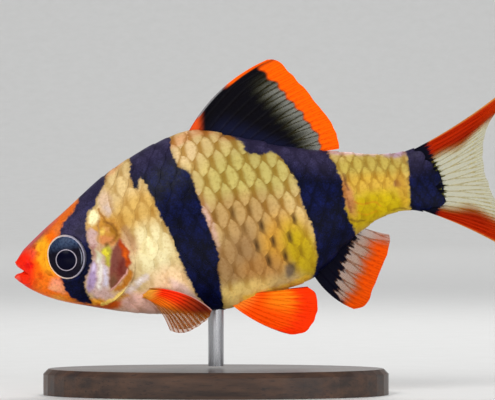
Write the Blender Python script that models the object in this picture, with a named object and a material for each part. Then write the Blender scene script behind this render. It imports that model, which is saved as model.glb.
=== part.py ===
"""A tiger barb, a small deep-bodied striped fish, life size, nose slightly down on a plain display stand.

The fish is laid out in its own frame, in millimetres: s runs from the snout to the tail, y towards its
right flank and h up. An empty tilts that frame and holds it over the stand, whose foot is the origin.
"""

import math

import bmesh
import bpy
import numpy as np

MM = 0.001
GAP = 0.3

# Body outline in side view, as (s, h), for a standard length of 50 mm
NOSE_S = -0.3
TAIL_S = 51.2
BACK_LINE = (
    (-0.3, -0.05), (0.16, 0.74), (0.9, 1.66), (2.74, 3.0), (4.77, 4.25), (7.06, 5.56), (10.47, 7.62),
    (13.14, 9.06), (15.73, 10.12), (18.23, 10.88), (20.9, 11.5), (23.2, 11.7), (25.6, 11.05),
    (28.65, 9.72), (31.9, 8.35), (36.28, 6.66), (40.0, 5.52), (44.1, 4.47), (46.6, 4.2), (49.0, 4.45),
    (51.2, 4.9),
)
BELLY_LINE = (
    (-0.3, -0.05), (-0.19, -0.73), (0.24, -1.5), (0.9, -2.2), (2.23, -3.28), (4.31, -4.52), (7.59, -5.9),
    (10.87, -7.18), (14.18, -8.26), (17.6, -8.98), (21.5, -9.5), (24.3, -9.58), (28.0, -9.0),
    (31.0, -8.62), (33.6, -8.05), (36.9, -6.02), (40.2, -3.92), (42.5, -3.02), (44.5, -2.72),
    (46.6, -2.95), (48.6, -3.75), (51.2, -4.6),
)
HALF_WIDTH = (
    (-0.3, 0.0), (0.0, 0.75), (0.9, 1.32), (2.74, 2.02), (5.0, 2.75), (7.0, 3.18), (9.0, 3.5), (12.0, 3.98),
    (16.0, 4.45), (20.0, 4.62), (24.0, 4.45), (28.0, 4.0), (32.0, 3.36), (36.0, 2.65), (40.0, 1.98),
    (44.0, 1.42), (47.0, 1.05), (51.2, 0.62),
)
BACK_SHARPNESS = 1.12
BELLY_SHARPNESS = 0.94

# Mouth: its lips meet in a slit that drops from the tip of the snout to the two corners
LIP_TOP = (0.16, 0.74)
LIP_BOTTOM = (-0.19, -0.73)
MOUTH_CORNER = (1.55, -0.86)
MOUTH_HALF_WIDTH = 1.3
LIP_DEPTH = 0.3
THROAT_S = 1.75
LIP_SWELL = 0.1
LIP_FOLD = -0.12

# Seams that part the body, as the station s that each has at height h
GILL_SEAM = (
    (-12.0, 8.3), (-7.2, 8.7), (-6.2, 9.9), (-5.3, 11.4), (-4.2, 12.8), (-2.6, 13.72), (-0.9, 13.9),
    (1.2, 13.5), (2.9, 12.8), (5.5, 12.2), (8.5, 12.1), (13.0, 12.3),
)
TAIL_SEAM = ((-9.0, 36.0), (9.0, 39.5))
FIN_SEAM = (
    (-6.0, 47.0), (-4.2, 48.5), (-3.4, 49.4), (-2.4, 50.1), (-1.2, 50.42), (0.6, 50.36), (2.5, 49.95),
    (4.6, 49.45), (6.5, 48.8),
)

# Gill cover: its front edge in side view; its free rear edge is the gill seam
GILL_COVER_EDGE = (
    (16.0, 3.2), (12.4, 3.25), (10.9, 3.05), (10.1, 2.3), (9.75, 1.2), (9.55, 0.0), (9.15, -1.5), (8.55, -2.9),
    (8.15, -4.1), (8.3, -5.0), (9.0, -5.65), (10.4, -6.0), (16.0, -6.1),
)
GILL_COVER_THICKNESS = 1.0

# Eyes and nostrils
EYE_CENTRE = (6.4, 2.05, 0.22)
EYE_RADII = (2.32, 1.38, 2.62)
EYE_TURN = math.radians(12)
NOSTRILS = ((2.32, 1.72, 0.28), (2.86, 2.12, 0.33))

# Fins: half thickness of the membrane, of its rays, at the root and at the margin
MEMBRANE_HALF = 0.25
RAY_HALF = 0.38
LEADING_RAY_HALF = 0.45
ROOT_HALF = 0.42
PAIRED_ROOT_HALF = 0.3
TIP_HALF = 0.16
RAY_SHARE = 0.24
RAY_TIP_REACH = 0.12
ROOT_SINK = 0.7

# Stand
FISH_TILT = math.radians(12)
ROD_S = 21.7
BELLY_HEIGHT = 9.6
ROD_RADIUS = 0.9
ROD_SINK = 2.4
BASE_RADII = (20.0, 11.0)
BASE_THICKNESS = 3.0
BASE_CHAMFER = 0.6

AROUND = 36
STATION_STEP = 0.95
ROUND_SIDES = 20
BEYOND = 9.0


def clear_scene():
    for obj in list(bpy.data.objects):
        bpy.data.objects.remove(obj)


def spline(points):
    """A natural cubic spline through (position, value) pairs, as a function of the position."""
    x, y = (np.array(column, float) for column in zip(*points))
    step = np.diff(x)
    count = len(x)
    system, right = np.eye(count), np.zeros(count)
    for i in range(1, count - 1):
        system[i, i - 1 : i + 2] = step[i - 1], 2 * (step[i - 1] + step[i]), step[i]
        right[i] = 6 * ((y[i + 1] - y[i]) / step[i] - (y[i] - y[i - 1]) / step[i - 1])
    bend = np.linalg.solve(system, right)

    def value(at):
        at = np.clip(np.asarray(at, float), x[0], x[-1])
        i = np.clip(np.searchsorted(x, at) - 1, 0, count - 2)
        before, after = at - x[i], x[i + 1] - at
        cubic = (bend[i] * after**3 + bend[i + 1] * before**3) / (6 * step[i])
        left = (y[i] / step[i] - bend[i] * step[i] / 6) * after
        return cubic + left + (y[i + 1] / step[i] - bend[i + 1] * step[i] / 6) * before

    return value


def body_line(points):
    """A line along the body that starts square to it at the nose, as on any rounded tip."""
    by_root = spline([(math.sqrt(s - NOSE_S), value) for s, value in points])
    return lambda s: by_root(np.sqrt(np.maximum(np.asarray(s, float) - NOSE_S, 0)))


def curve(points):
    """A smooth curve through points in any number of dimensions, run from 0 to 1 along its length."""
    points = np.array(points, float)
    length = np.concatenate([[0], np.cumsum(np.linalg.norm(np.diff(points, axis=0), axis=1))])
    parts = [spline(list(zip(length / length[-1], column))) for column in points.T]
    return lambda u: np.stack([part(u) for part in parts], axis=-1)


back, belly, half_width = body_line(BACK_LINE), body_line(BELLY_LINE), body_line(HALF_WIDTH)
gill_seam, tail_seam, fin_seam = spline(GILL_SEAM), spline(TAIL_SEAM), spline(FIN_SEAM)


def skin(s, angle, inset=0.0):
    """The skin's point at station s. Angle 0 is the back, a quarter turn the left flank, a half the belly."""
    s, angle = np.broadcast_arrays(np.asarray(s, float), np.asarray(angle, float))
    top, bottom, width = back(s) - inset, belly(s) + inset, half_width(s) - inset
    side, up = np.sin(angle), np.cos(angle)
    power = np.where(up > 0, BACK_SHARPNESS, BELLY_SHARPNESS)
    y = -width * np.sign(side) * np.abs(side) ** power
    return np.stack([s, y, (top + bottom) / 2 + (top - bottom) / 2 * up], axis=-1)


def outward(s, angle):
    """The direction straight out of the skin."""
    small = 1e-3
    along = skin(s + small, angle) - skin(s - small, angle)
    around = skin(s, angle + small) - skin(s, angle - small)
    across = np.cross(around, along)
    return across / np.linalg.norm(across, axis=-1, keepdims=True)


def angle_at(s, h):
    """The angle at which the left flank passes height h at station s."""
    middle, half = (back(s) + belly(s)) / 2, (back(s) - belly(s)) / 2
    return np.arccos(np.clip((h - middle) / half, -1, 1))


def lip_ring(angle, shrink, deeper):
    """A ring of the mouth, from the crest of the lips inwards."""
    side, up = np.sin(angle) ** 2, np.cos(angle)
    middle_s, middle_h = (LIP_TOP[0] + LIP_BOTTOM[0]) / 2, (LIP_TOP[1] + LIP_BOTTOM[1]) / 2
    half_s, half_h = (LIP_TOP[0] - LIP_BOTTOM[0]) / 2, (LIP_TOP[1] - LIP_BOTTOM[1]) / 2
    s = middle_s + half_s * up + (MOUTH_CORNER[0] - middle_s) * side + deeper
    h = middle_h + half_h * up * np.abs(up) * shrink + (MOUTH_CORNER[1] - middle_h) * side
    y = -MOUTH_HALF_WIDTH * np.sin(angle) * (0.6 + 0.4 * shrink)
    return np.stack([s, y, h], axis=-1)


def snout_ring(angle, station, swell=0.0):
    """A ring of the skin that wraps back round the mouth's corners near the nose and is flat further on."""
    wrap = float(np.clip((5.0 - station) / 4.77, 0, 1))
    s = station + 1.65 * wrap**2 * np.sin(angle) ** 2 + 0.2 * wrap * np.cos(angle)
    turned = angle + math.radians(11) * wrap * np.sin(angle)
    fade = (0.35 + 0.65 * np.sin(angle) ** 2)[:, None]
    return skin(s, turned) + swell * fade * outward(s, turned)


def body_rings():
    """The rings of the whole body, from inside the mouth to the root of the tail fin."""
    angle = np.arange(AROUND) * 2 * math.pi / AROUND
    crest = lip_ring(angle, 1.0, 0.0)
    outer = snout_ring(angle, 0.235, 0.06)
    rings = [lip_ring(angle, 0.2, 0.8), lip_ring(angle, 0.45, LIP_DEPTH), crest]
    rings += [(crest + outer) / 2 + LIP_SWELL * np.array([-0.7, 0, 0]), outer]
    rings += [snout_ring(angle, 0.62, LIP_FOLD)]
    rings += [snout_ring(angle, station) for station in (1.05, 1.7, 2.4, 3.2, 4.1)]
    flat = np.linspace(5.0, TAIL_S, round((TAIL_S - 5.0) / STATION_STEP) + 1)
    return rings + [skin(np.full(AROUND, s), angle) for s in flat]


def plain_body(name, first, last, inset, parent):
    """The body between two stations, inset from the skin or, with a negative inset, grown out of it."""
    angle = np.arange(AROUND) * 2 * math.pi / AROUND
    stations = np.linspace(first, last, round((last - first) / STATION_STEP) + 1)
    return as_cutter(loft(name, [skin(np.full(AROUND, s), angle, inset) for s in stations], parent=parent))


def mesh_object(name, points, faces, parent=None):
    """A closed mesh object from points in millimetres, its faces turned outwards and split in triangles."""
    shape = bmesh.new()
    for point in points:
        shape.verts.new([float(c) * MM for c in point])
    shape.verts.ensure_lookup_table()
    for face in faces:
        shape.faces.new([shape.verts[i] for i in face])
    bmesh.ops.triangulate(shape, faces=shape.faces[:])
    bmesh.ops.recalc_face_normals(shape, faces=shape.faces[:])
    mesh = bpy.data.meshes.new(name)
    shape.to_mesh(mesh)
    shape.free()
    obj = bpy.data.objects.new(name, mesh)
    bpy.context.scene.collection.objects.link(obj)
    obj.parent = parent
    return obj


def loft(name, rings, first=None, last=None, parent=None):
    """A closed skin over rings of equal count, ending in a point at first and last or at the rings' middles."""
    count = len(rings[0])
    first = rings[0].mean(axis=0) if first is None else first
    last = rings[-1].mean(axis=0) if last is None else last
    points = np.concatenate([*rings, [first, last]])
    faces = []
    for ring in range(len(rings) - 1):
        low, high = ring * count, (ring + 1) * count
        for i in range(count):
            j = (i + 1) % count
            faces.append((low + i, low + j, high + j, high + i))
    end = (len(rings) - 1) * count
    for i in range(count):
        j = (i + 1) % count
        faces.append((len(points) - 2, j, i))
        faces.append((len(points) - 1, end + i, end + j))
    return mesh_object(name, points, faces, parent)


def prism(name, outline, near, far, parent):
    """A cutter: an outline in side view carried across the fish from y = near to y = far."""
    count = len(outline)
    points = [(s, near, h) for s, h in outline] + [(s, far, h) for s, h in outline]
    faces = [tuple(range(count)), tuple(range(2 * count - 1, count - 1, -1))]
    faces += [(i, (i + 1) % count, count + (i + 1) % count, count + i) for i in range(count)]
    return as_cutter(mesh_object(name, points, faces, parent))


def as_cutter(obj):
    obj.hide_render = True
    obj.display_type = "WIRE"
    return obj


def boolean(obj, operation, *others):
    """Cuts obj by the others, or keeps what it shares with one of them."""
    tool = obj.modifiers.new(operation.lower(), "BOOLEAN")
    tool.operation = operation
    tool.solver = "EXACT"
    if len(others) == 1:
        tool.object = others[0]
        return
    group = bpy.data.collections.new(obj.name + "_" + operation.lower())
    for other in others:
        group.objects.link(other)
    tool.operand_type = "COLLECTION"
    tool.collection = group


def material(name, colour, roughness, metallic=0.0):
    made = bpy.data.materials.new(name)
    made.use_nodes = True
    shader = made.node_tree.nodes["Principled BSDF"]
    shader.inputs["Base Color"].default_value = (*colour, 1.0)
    shader.inputs["Roughness"].default_value = roughness
    shader.inputs["Metallic"].default_value = metallic
    return made


def finish(obj, paint):
    obj.data.materials.clear()
    obj.data.materials.append(paint)
    obj.data.shade_smooth()
    obj.data.set_sharp_from_angle(angle=math.radians(40))


def seam_points(seam, offset, count=41):
    """Points down a seam in side view, shifted along the body by offset."""
    heights = np.linspace(20.0, -20.0, count)
    return [(float(seam(h)) + offset, float(h)) for h in heights]


def region(name, front, rear, parent):
    """A cutter over the stretch of body between two seams; None runs past the nose."""
    ahead = seam_points(front, GAP / 2) if front else [(-5.0, 20.0), (-5.0, -20.0)]
    behind = seam_points(rear, -GAP / 2)
    return prism(name, ahead + behind[::-1], -BEYOND, BEYOND, parent)


def cover_outline(grow, count=40):
    """The gill cover's outline in side view, with its front edge moved out by grow."""
    edge = curve(GILL_COVER_EDGE)(np.linspace(0, 1, count))
    along = np.gradient(edge, axis=0)
    out = np.stack([along[:, 1], -along[:, 0]], axis=1) / np.linalg.norm(along, axis=1, keepdims=True)
    return [(float(s), float(h)) for s, h in edge + grow * out]


def ellipsoid(name, centre, radii, turn, parent, sides=ROUND_SIDES, rows=12):
    """A ball with three radii, turned about the upright axis."""
    rings = []
    around = np.arange(sides) * 2 * math.pi / sides
    for tilt in np.linspace(0, math.pi, rows + 1)[1:-1]:
        x = radii[0] * math.sin(tilt) * np.cos(around)
        y = np.full(sides, -radii[1] * math.cos(tilt))
        z = radii[2] * math.sin(tilt) * np.sin(around)
        turned = (x * math.cos(turn) - y * math.sin(turn), x * math.sin(turn) + y * math.cos(turn), z)
        rings.append(np.stack(turned, axis=1) + np.array(centre))
    pole = np.array([radii[1] * math.sin(turn), -radii[1] * math.cos(turn), 0.0])
    return loft(name, rings, np.array(centre) + pole, np.array(centre) - pole, parent)


def eye_shape(name, side, grow, parent):
    """One eye; side is -1 on the fish's left."""
    s, y, h = EYE_CENTRE
    radii = [radius + grow for radius in EYE_RADII]
    return ellipsoid(name, (s, side * y, h), radii, side * EYE_TURN, parent)


def nostril_cutters(parent):
    cutters = []
    for side in (-1, 1):
        for i, (s, h, radius) in enumerate(NOSTRILS):
            point = skin(s, angle_at(s, h))
            centre = (point[0], -side * point[1], point[2])
            radii = (radius, radius * 1.4, radius)
            name = f"nostril_cut_{side}_{i}"
            cutters.append(as_cutter(ellipsoid(name, centre, radii, 0.0, parent, sides=8, rows=6)))
    return cutters


def ray_columns(rays):
    """Where a fin's columns stand from 0 to 1, and how much of a ray each one is: 1 on its crest."""
    spacing = 1 / (rays - 1)
    places, crests = [], []
    for ray in range(rays):
        for shift, crest in ((-RAY_SHARE, 0.0), (0.0, 1.0), (RAY_SHARE, 0.0)):
            place = (ray + shift) * spacing
            if 0 <= place <= 1:
                places.append(place)
                crests.append(crest)
    return np.array(places), np.array(crests)


def half_thickness(crest, v, root_half):
    """A fin's half thickness at each column and row: rays stand up from the membrane and taper outwards."""
    ray = np.full(len(crest), RAY_HALF)
    ray[:2] = LEADING_RAY_HALF
    half = (MEMBRANE_HALF + (ray - MEMBRANE_HALF) * crest)[:, None] * np.ones(len(v))[None, :]
    half = half + (root_half - half) * np.clip(1 - v / 0.3, 0, 1)[None, :]
    return half + (TIP_HALF - half) * np.clip((v - 0.75) / 0.25, 0, 1)[None, :]


def blade(roots, tips, bows, lean):
    """A fin's middle surface, as a function of the place along the root, the way out and an extra reach."""
    root_line, margin = curve(roots), curve(tips)
    first, last = np.array(bows[0]), np.array(bows[1])

    def surface(u, v, reach):
        root, tip = root_line(u), margin(u)
        tip = tip + reach[:, None] * (tip - root) / np.linalg.norm(tip - root, axis=1, keepdims=True)
        control = (root + tip) / 2 + 2 * (first + (last - first) * u[:, None])
        t = v[None, :, None]
        points = (1 - t) ** 2 * root[:, None] + 2 * t * (1 - t) * control[:, None] + t**2 * tip[:, None]
        points[:, :, 1] += lean * v[None, :] ** 2
        return points

    return surface


def square_to(surface, u, v, step=0.02):
    """The direction square to a surface at each place, by differences over a small step."""
    u, v, none = np.clip(u, step, 1 - step), np.clip(v, step, 1 - step), np.zeros(len(u))
    across = surface(u + step, v, none) - surface(u - step, v, none)
    along = surface(u, v + step, none) - surface(u, v - step, none)
    face = np.cross(across, along)
    return face / np.linalg.norm(face, axis=2, keepdims=True)


def fin(name, roots, tips, bows, parent, rays, root_half=ROOT_HALF, lean=0.0, rows=8, side=1):
    """A fin of rays that run from its root line to its margin.

    roots and tips are points (s, y, h) along those lines. bows are how far the middles of the first and
    the last ray stand off a straight line, and lean carries the tips sideways.
    """
    u, crest = ray_columns(rays)
    v = np.linspace(0, 1, rows)
    surface = blade(roots, tips, bows, lean)
    middle = surface(u, v, RAY_TIP_REACH * crest)
    swell = square_to(surface, u, v) * half_thickness(crest, v, root_half)[:, :, None]
    to_side = np.array([1, side, 1])
    return sheet(name, (middle + swell) * to_side, (middle - swell) * to_side, parent)


def sheet(name, front, rear, parent):
    """Closes two grids of points into one thin solid, with both faces split in triangles the same way."""
    columns, rows = front.shape[:2]
    points = np.concatenate([front.reshape(-1, 3), rear.reshape(-1, 3)])
    behind = columns * rows
    faces = []
    for i in range(columns - 1):
        for j in range(rows - 1):
            a, b, c, d = i * rows + j, (i + 1) * rows + j, (i + 1) * rows + j + 1, i * rows + j + 1
            faces += [(a, b, c), (a, c, d)]
            faces += [(behind + c, behind + b, behind + a), (behind + d, behind + c, behind + a)]
    rim = [i * rows for i in range(columns)]
    rim += [(columns - 1) * rows + j for j in range(1, rows)]
    rim += [i * rows + rows - 1 for i in range(columns - 2, -1, -1)]
    rim += [j for j in range(rows - 2, 0, -1)]
    for a, b in zip(rim, rim[1:] + rim[:1]):
        faces += [(b, a, behind + a), (b, behind + a, behind + b)]
    return mesh_object(name, points, faces, parent)


def on_midline(points):
    """Side-view points as points on the fish's middle plane."""
    return [(s, 0.0, h) for s, h in points]


def sunk_root(line, start, end, inwards, count=6):
    """A root line under the back or belly line, sunk into the flesh."""
    stations = np.linspace(start, end, count)
    return [(float(s), 0.0, float(line(s)) + inwards * ROOT_SINK) for s in stations]


def seam_root(start, end, count=6):
    """A root line just behind the seam at the end of the body."""
    heights = np.linspace(start, end, count)
    return [(float(fin_seam(h)) + GAP / 2, 0.0, float(h)) for h in heights]


def flank_root(places):
    """Root points under the left flank, sunk into the flesh."""
    return [skin(s, angle_at(s, h)) - ROOT_SINK * outward(s, angle_at(s, h)) for s, h in places]


def dorsal_fin(parent):
    margin = [
        (33.5, 17.75), (34.6, 17.5), (35.5, 16.3), (36.9, 13.9), (38.3, 11.2), (39.2, 9.2), (39.65, 7.4), (39.5, 6.2),
    ]
    bows = ((-0.58, 0, 0.98), (0, 0, 0.2))
    return fin(
        "dorsal_fin", sunk_root(back, 22.5, 34.0, -1), on_midline(margin), bows, parent, rays=12, lean=0.25, rows=9
    )


def anal_fin(parent):
    margin = [
        (37.4, -12.6), (38.6, -12.5), (39.7, -11.3), (40.9, -9.4), (42.0, -7.8), (42.9, -6.3), (43.2, -5.0),
    ]
    bows = ((-0.42, 0, -0.36), (0, 0, -0.1))
    return fin("anal_fin", sunk_root(belly, 33.5, 40.0, 1), on_midline(margin), bows, parent, rays=8, lean=0.2)


def tail_fin_upper(parent):
    margin = [
        (61.8, 9.75), (61.7, 9.1), (60.6, 8.05), (59.3, 7.1), (57.5, 5.6), (56.4, 4.0), (55.8, 2.2), (55.5, 0.1),
    ]
    bows = ((0.15, 0, -0.38), (0, 0, 0))
    return fin("tail_fin_upper", seam_root(4.55, 0.1), on_midline(margin), bows, parent, rays=10, lean=0.9, rows=9)


def tail_fin_lower(parent):
    margin = [
        (59.1, -12.3), (59.2, -11.6), (58.5, -9.9), (57.6, -7.9), (56.6, -5.3), (55.9, -2.9), (55.4, -0.5),
    ]
    bows = ((0.26, 0, 0.34), (0, 0, 0))
    return fin("tail_fin_lower", seam_root(-4.1, -0.5), on_midline(margin), bows, parent, rays=10, lean=0.9, rows=9)


def pectoral_fin(label, side, parent):
    root = flank_root([(13.2, -4.7), (13.4, -5.3), (13.5, -5.9)])
    margin = [
        (21.4, -5.3, -8.8), (20.9, -5.4, -9.7), (19.7, -5.4, -10.4), (18.4, -5.3, -10.85), (17.3, -5.2, -10.85),
        (16.3, -5.0, -10.5),
    ]
    bows = ((0.45, -0.4, 0.8), (0.35, -0.4, 0.35))
    return fin("pectoral_fin_" + label, root, margin, bows, parent, rays=11, root_half=PAIRED_ROOT_HALF, side=side)


def pelvic_fin(label, side, parent):
    root = flank_root([(23.3, -9.25), (24.4, -9.05), (25.6, -8.7)])
    margin = [
        (29.6, -2.9, -13.8), (31.3, -3.0, -13.8), (32.6, -2.9, -12.7), (33.3, -2.75, -11.3), (33.4, -2.6, -10.0),
        (32.7, -2.45, -8.95),
    ]
    bows = ((-0.28, 0, -0.42), (0, -0.3, 0.0))
    return fin("pelvic_fin_" + label, root, margin, bows, parent, rays=8, root_half=PAIRED_ROOT_HALF, side=side)


def gill_cover(name, side, body, head_region, parent):
    """A gill cover cut from a copy of the body, and the cutter for the pocket that it lies in."""
    cover = bpy.data.objects.new(name, body.data.copy())
    bpy.context.scene.collection.objects.link(cover)
    cover.parent = parent
    near, far = side * 0.4, side * BEYOND
    boolean(cover, "INTERSECT", head_region)
    boolean(cover, "INTERSECT", prism(name + "_outline", cover_outline(0.0), near, far, parent))
    boolean(cover, "DIFFERENCE", plain_body(name + "_core", 6.0, 17.4, GILL_COVER_THICKNESS, parent))
    pocket = prism(name + "_pocket", cover_outline(GAP), near, far, parent)
    boolean(pocket, "DIFFERENCE", plain_body(name + "_floor", 6.0, 17.4, GILL_COVER_THICKNESS + GAP, parent))
    return cover, pocket


def body_parts(pose, socket):
    """Head, gill covers, trunk and tail root, parted from one body by thin seams."""
    head = loft("head", body_rings(), first=np.array([THROAT_S, 0.0, -0.4]), parent=pose)
    head_region = region("head_region", None, gill_seam, pose)
    trunk, tail_root = (bpy.data.objects.new(name, head.data.copy()) for name in ("trunk", "tail_root"))
    for obj in (trunk, tail_root):
        bpy.context.scene.collection.objects.link(obj)
        obj.parent = pose
    left, left_pocket = gill_cover("gill_cover_left", -1, head, head_region, pose)
    right, right_pocket = gill_cover("gill_cover_right", 1, head, head_region, pose)
    sockets = [as_cutter(eye_shape(f"eye_socket_{side}", side, GAP, pose)) for side in (-1, 1)]
    boolean(head, "INTERSECT", head_region)
    boolean(head, "DIFFERENCE", left_pocket, right_pocket, *sockets, *nostril_cutters(pose))
    boolean(trunk, "INTERSECT", region("trunk_region", gill_seam, tail_seam, pose))
    boolean(trunk, "DIFFERENCE", socket)
    boolean(tail_root, "INTERSECT", region("tail_region", tail_seam, fin_seam, pose))
    return head, trunk, tail_root, left, right


def upright(name, radii, heights, sides):
    """An upright oval column in the stand's frame; radii and heights run up its outer side."""
    turn = np.arange(sides) * 2 * math.pi / sides
    rings = []
    for (across, deep), height in zip(radii, heights):
        rings.append(np.stack([across * np.cos(turn), deep * np.sin(turn), np.full(sides, height)], axis=1))
    return loft(name, rings)


def stand_base():
    narrow = tuple(radius - BASE_CHAMFER for radius in BASE_RADII)
    heights = (0.0, BASE_THICKNESS - BASE_CHAMFER, BASE_THICKNESS)
    return upright("stand_base", (BASE_RADII, BASE_RADII, narrow), heights, 48)


def rod_and_socket():
    ends = (BASE_THICKNESS + GAP, BELLY_HEIGHT + ROD_SINK)
    rod = upright("stand_rod", ((ROD_RADIUS, ROD_RADIUS),) * 2, ends, ROUND_SIDES)
    bore = ROD_RADIUS + GAP
    depth = (BELLY_HEIGHT - 3.0, BELLY_HEIGHT + ROD_SINK + GAP)
    return rod, as_cutter(upright("rod_socket", ((bore, bore),) * 2, depth, ROUND_SIDES))


def fish_pose():
    """The empty that tilts the fish and sets the belly point over the rod at its height."""
    tilt_cos, tilt_sin = math.cos(FISH_TILT), math.sin(FISH_TILT)
    low = float(belly(ROD_S))
    pose = bpy.data.objects.new("fish_pose", None)
    bpy.context.scene.collection.objects.link(pose)
    pose.rotation_euler = (0.0, -FISH_TILT, 0.0)
    pose.location = (
        -(ROD_S * tilt_cos - low * tilt_sin) * MM,
        0.0,
        (BELLY_HEIGHT - ROD_S * tilt_sin - low * tilt_cos) * MM,
    )
    return pose


def main():
    clear_scene()
    pose = fish_pose()
    rod, socket = rod_and_socket()
    head, trunk, tail_root, left_cover, right_cover = body_parts(pose, socket)
    eyes = [eye_shape("eye_left", -1, 0.0, pose), eye_shape("eye_right", 1, 0.0, pose)]
    dorsal, anal = dorsal_fin(pose), anal_fin(pose)
    paired = [pectoral_fin("left", 1, pose), pectoral_fin("right", -1, pose)]
    paired += [pelvic_fin("left", 1, pose), pelvic_fin("right", -1, pose)]
    clearance = plain_body("fin_clearance", 8.0, TAIL_S, -GAP, pose)
    for rooted in (dorsal, anal, *paired):
        boolean(rooted, "DIFFERENCE", clearance)

    finish(head, material("snout_orange", (0.80, 0.12, 0.02), 0.35))
    flank = material("flank_gold", (0.72, 0.52, 0.22), 0.35)
    finish(trunk, flank)
    finish(tail_root, flank)
    pearl = material("gill_pearl", (0.55, 0.32, 0.25), 0.3)
    finish(left_cover, pearl)
    finish(right_cover, pearl)
    black = material("eye_black", (0.01, 0.01, 0.02), 0.08)
    for eye in eyes:
        finish(eye, black)
    finish(dorsal, material("dorsal_black", (0.02, 0.015, 0.03), 0.4))
    red = material("fin_red", (0.85, 0.06, 0.01), 0.4)
    for obj in (anal, tail_fin_upper(pose), tail_fin_lower(pose), *paired):
        finish(obj, red)
    finish(stand_base(), material("stand_wood", (0.05, 0.03, 0.02), 0.45))
    finish(rod, material("stand_steel", (0.6, 0.6, 0.62), 0.3, 1.0))


main()
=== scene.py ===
"""Looks of the tiger barb model: skin, scales, finer fins, eyes, stand finishes, floor, light and camera.

Shapes are worked out in the fish's own frame, in millimetres: s runs from the snout to the tail, y towards
its right flank and h up. to_world() tilts that frame over the stand, as the CAD part does.
"""

import math

import bpy
import numpy as np
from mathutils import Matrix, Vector


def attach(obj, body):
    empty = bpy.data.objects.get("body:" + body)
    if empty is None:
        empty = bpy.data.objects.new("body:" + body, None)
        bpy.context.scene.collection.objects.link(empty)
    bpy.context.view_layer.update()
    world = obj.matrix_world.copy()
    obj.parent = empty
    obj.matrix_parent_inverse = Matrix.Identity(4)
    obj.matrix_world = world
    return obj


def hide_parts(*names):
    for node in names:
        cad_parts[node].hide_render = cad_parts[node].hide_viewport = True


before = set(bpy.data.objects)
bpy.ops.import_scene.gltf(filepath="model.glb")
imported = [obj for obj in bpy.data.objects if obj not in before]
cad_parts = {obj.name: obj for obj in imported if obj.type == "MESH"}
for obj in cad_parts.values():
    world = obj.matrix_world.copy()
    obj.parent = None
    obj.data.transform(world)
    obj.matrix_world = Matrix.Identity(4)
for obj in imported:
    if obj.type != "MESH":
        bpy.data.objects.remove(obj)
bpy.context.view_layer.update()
random = np.random.default_rng(7)

MM = 0.001

# Body outline, widths and seams, as in the CAD part
NOSE_S = -0.3
TAIL_S = 51.2
BACK_LINE = (
    (-0.3, -0.05), (0.16, 0.74), (0.9, 1.66), (2.74, 3.0), (4.77, 4.25), (7.06, 5.56), (10.47, 7.62),
    (13.14, 9.06), (15.73, 10.12), (18.23, 10.88), (20.9, 11.5), (23.2, 11.7), (25.6, 11.05),
    (28.65, 9.72), (31.9, 8.35), (36.28, 6.66), (40.0, 5.52), (44.1, 4.47), (46.6, 4.2), (49.0, 4.45),
    (51.2, 4.9),
)
BELLY_LINE = (
    (-0.3, -0.05), (-0.19, -0.73), (0.24, -1.5), (0.9, -2.2), (2.23, -3.28), (4.31, -4.52), (7.59, -5.9),
    (10.87, -7.18), (14.18, -8.26), (17.6, -8.98), (21.5, -9.5), (24.3, -9.58), (28.0, -9.0),
    (31.0, -8.62), (33.6, -8.05), (36.9, -6.02), (40.2, -3.92), (42.5, -3.02), (44.5, -2.72),
    (46.6, -2.95), (48.6, -3.75), (51.2, -4.6),
)
HALF_WIDTH = (
    (-0.3, 0.0), (0.0, 0.75), (0.9, 1.32), (2.74, 2.02), (5.0, 2.75), (7.0, 3.18), (9.0, 3.5), (12.0, 3.98),
    (16.0, 4.45), (20.0, 4.62), (24.0, 4.45), (28.0, 4.0), (32.0, 3.36), (36.0, 2.65), (40.0, 1.98),
    (44.0, 1.42), (47.0, 1.05), (51.2, 0.62),
)
BACK_SHARPNESS = 1.12
BELLY_SHARPNESS = 0.94
GILL_SEAM = (
    (-12.0, 8.3), (-7.2, 8.7), (-6.2, 9.9), (-5.3, 11.4), (-4.2, 12.8), (-2.6, 13.72), (-0.9, 13.9),
    (1.2, 13.5), (2.9, 12.8), (5.5, 12.2), (8.5, 12.1), (13.0, 12.3),
)
FIN_SEAM = (
    (-6.0, 47.0), (-4.2, 48.5), (-3.4, 49.4), (-2.4, 50.1), (-1.2, 50.42), (0.6, 50.36), (2.5, 49.95),
    (4.6, 49.45), (6.5, 48.8),
)
CHEEK_EDGE = (
    (12.4, 3.25), (10.9, 3.05), (10.1, 2.3), (9.75, 1.2), (9.55, 0.0), (9.15, -1.5), (8.55, -2.9),
    (8.15, -4.1), (8.3, -5.0), (9.0, -5.65),
)
FISH_TILT = math.radians(12)
ROD_S = 21.7
BELLY_HEIGHT = 9.6
ROOT_SINK = 0.7

# Scale of the photo and its pixel at the snout, the origin of the fish's frame
PIXELS_PER_MM = 8.64
SNOUT_PIXEL = (15.3, 270.5)


def spot(x, y):
    """The place (s, h) on the fish that a pixel of the photo shows."""
    cos, sin = math.cos(FISH_TILT), math.sin(FISH_TILT)
    right, up = (x - SNOUT_PIXEL[0]) / PIXELS_PER_MM, (SNOUT_PIXEL[1] - y) / PIXELS_PER_MM
    return right * cos + up * sin, up * cos - right * sin


def trace(*pixels):
    """The places on the fish of a line or an outline that is read off the photo, pixel by pixel."""
    return tuple(spot(x, y) for x, y in pixels)


# Mouth rings, from the apex of the gape outwards: top and bottom on the middle plane, corner, half width
MOUTH_RINGS = (
    ((1.0, -0.22), (1.0, -0.3), (1.66, -0.82), 1.0),
    ((0.72, 0.0), (0.55, -0.44), (1.6, -0.82), 1.12),
    ((0.3, 0.36), (0.07, -0.5), (1.53, -0.83), 1.24),
    ((0.147, 0.8), (-0.245, -0.72), (1.47, -0.84), 1.33),
)
GULLET = (1.9, 0.0, -0.5)

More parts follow.
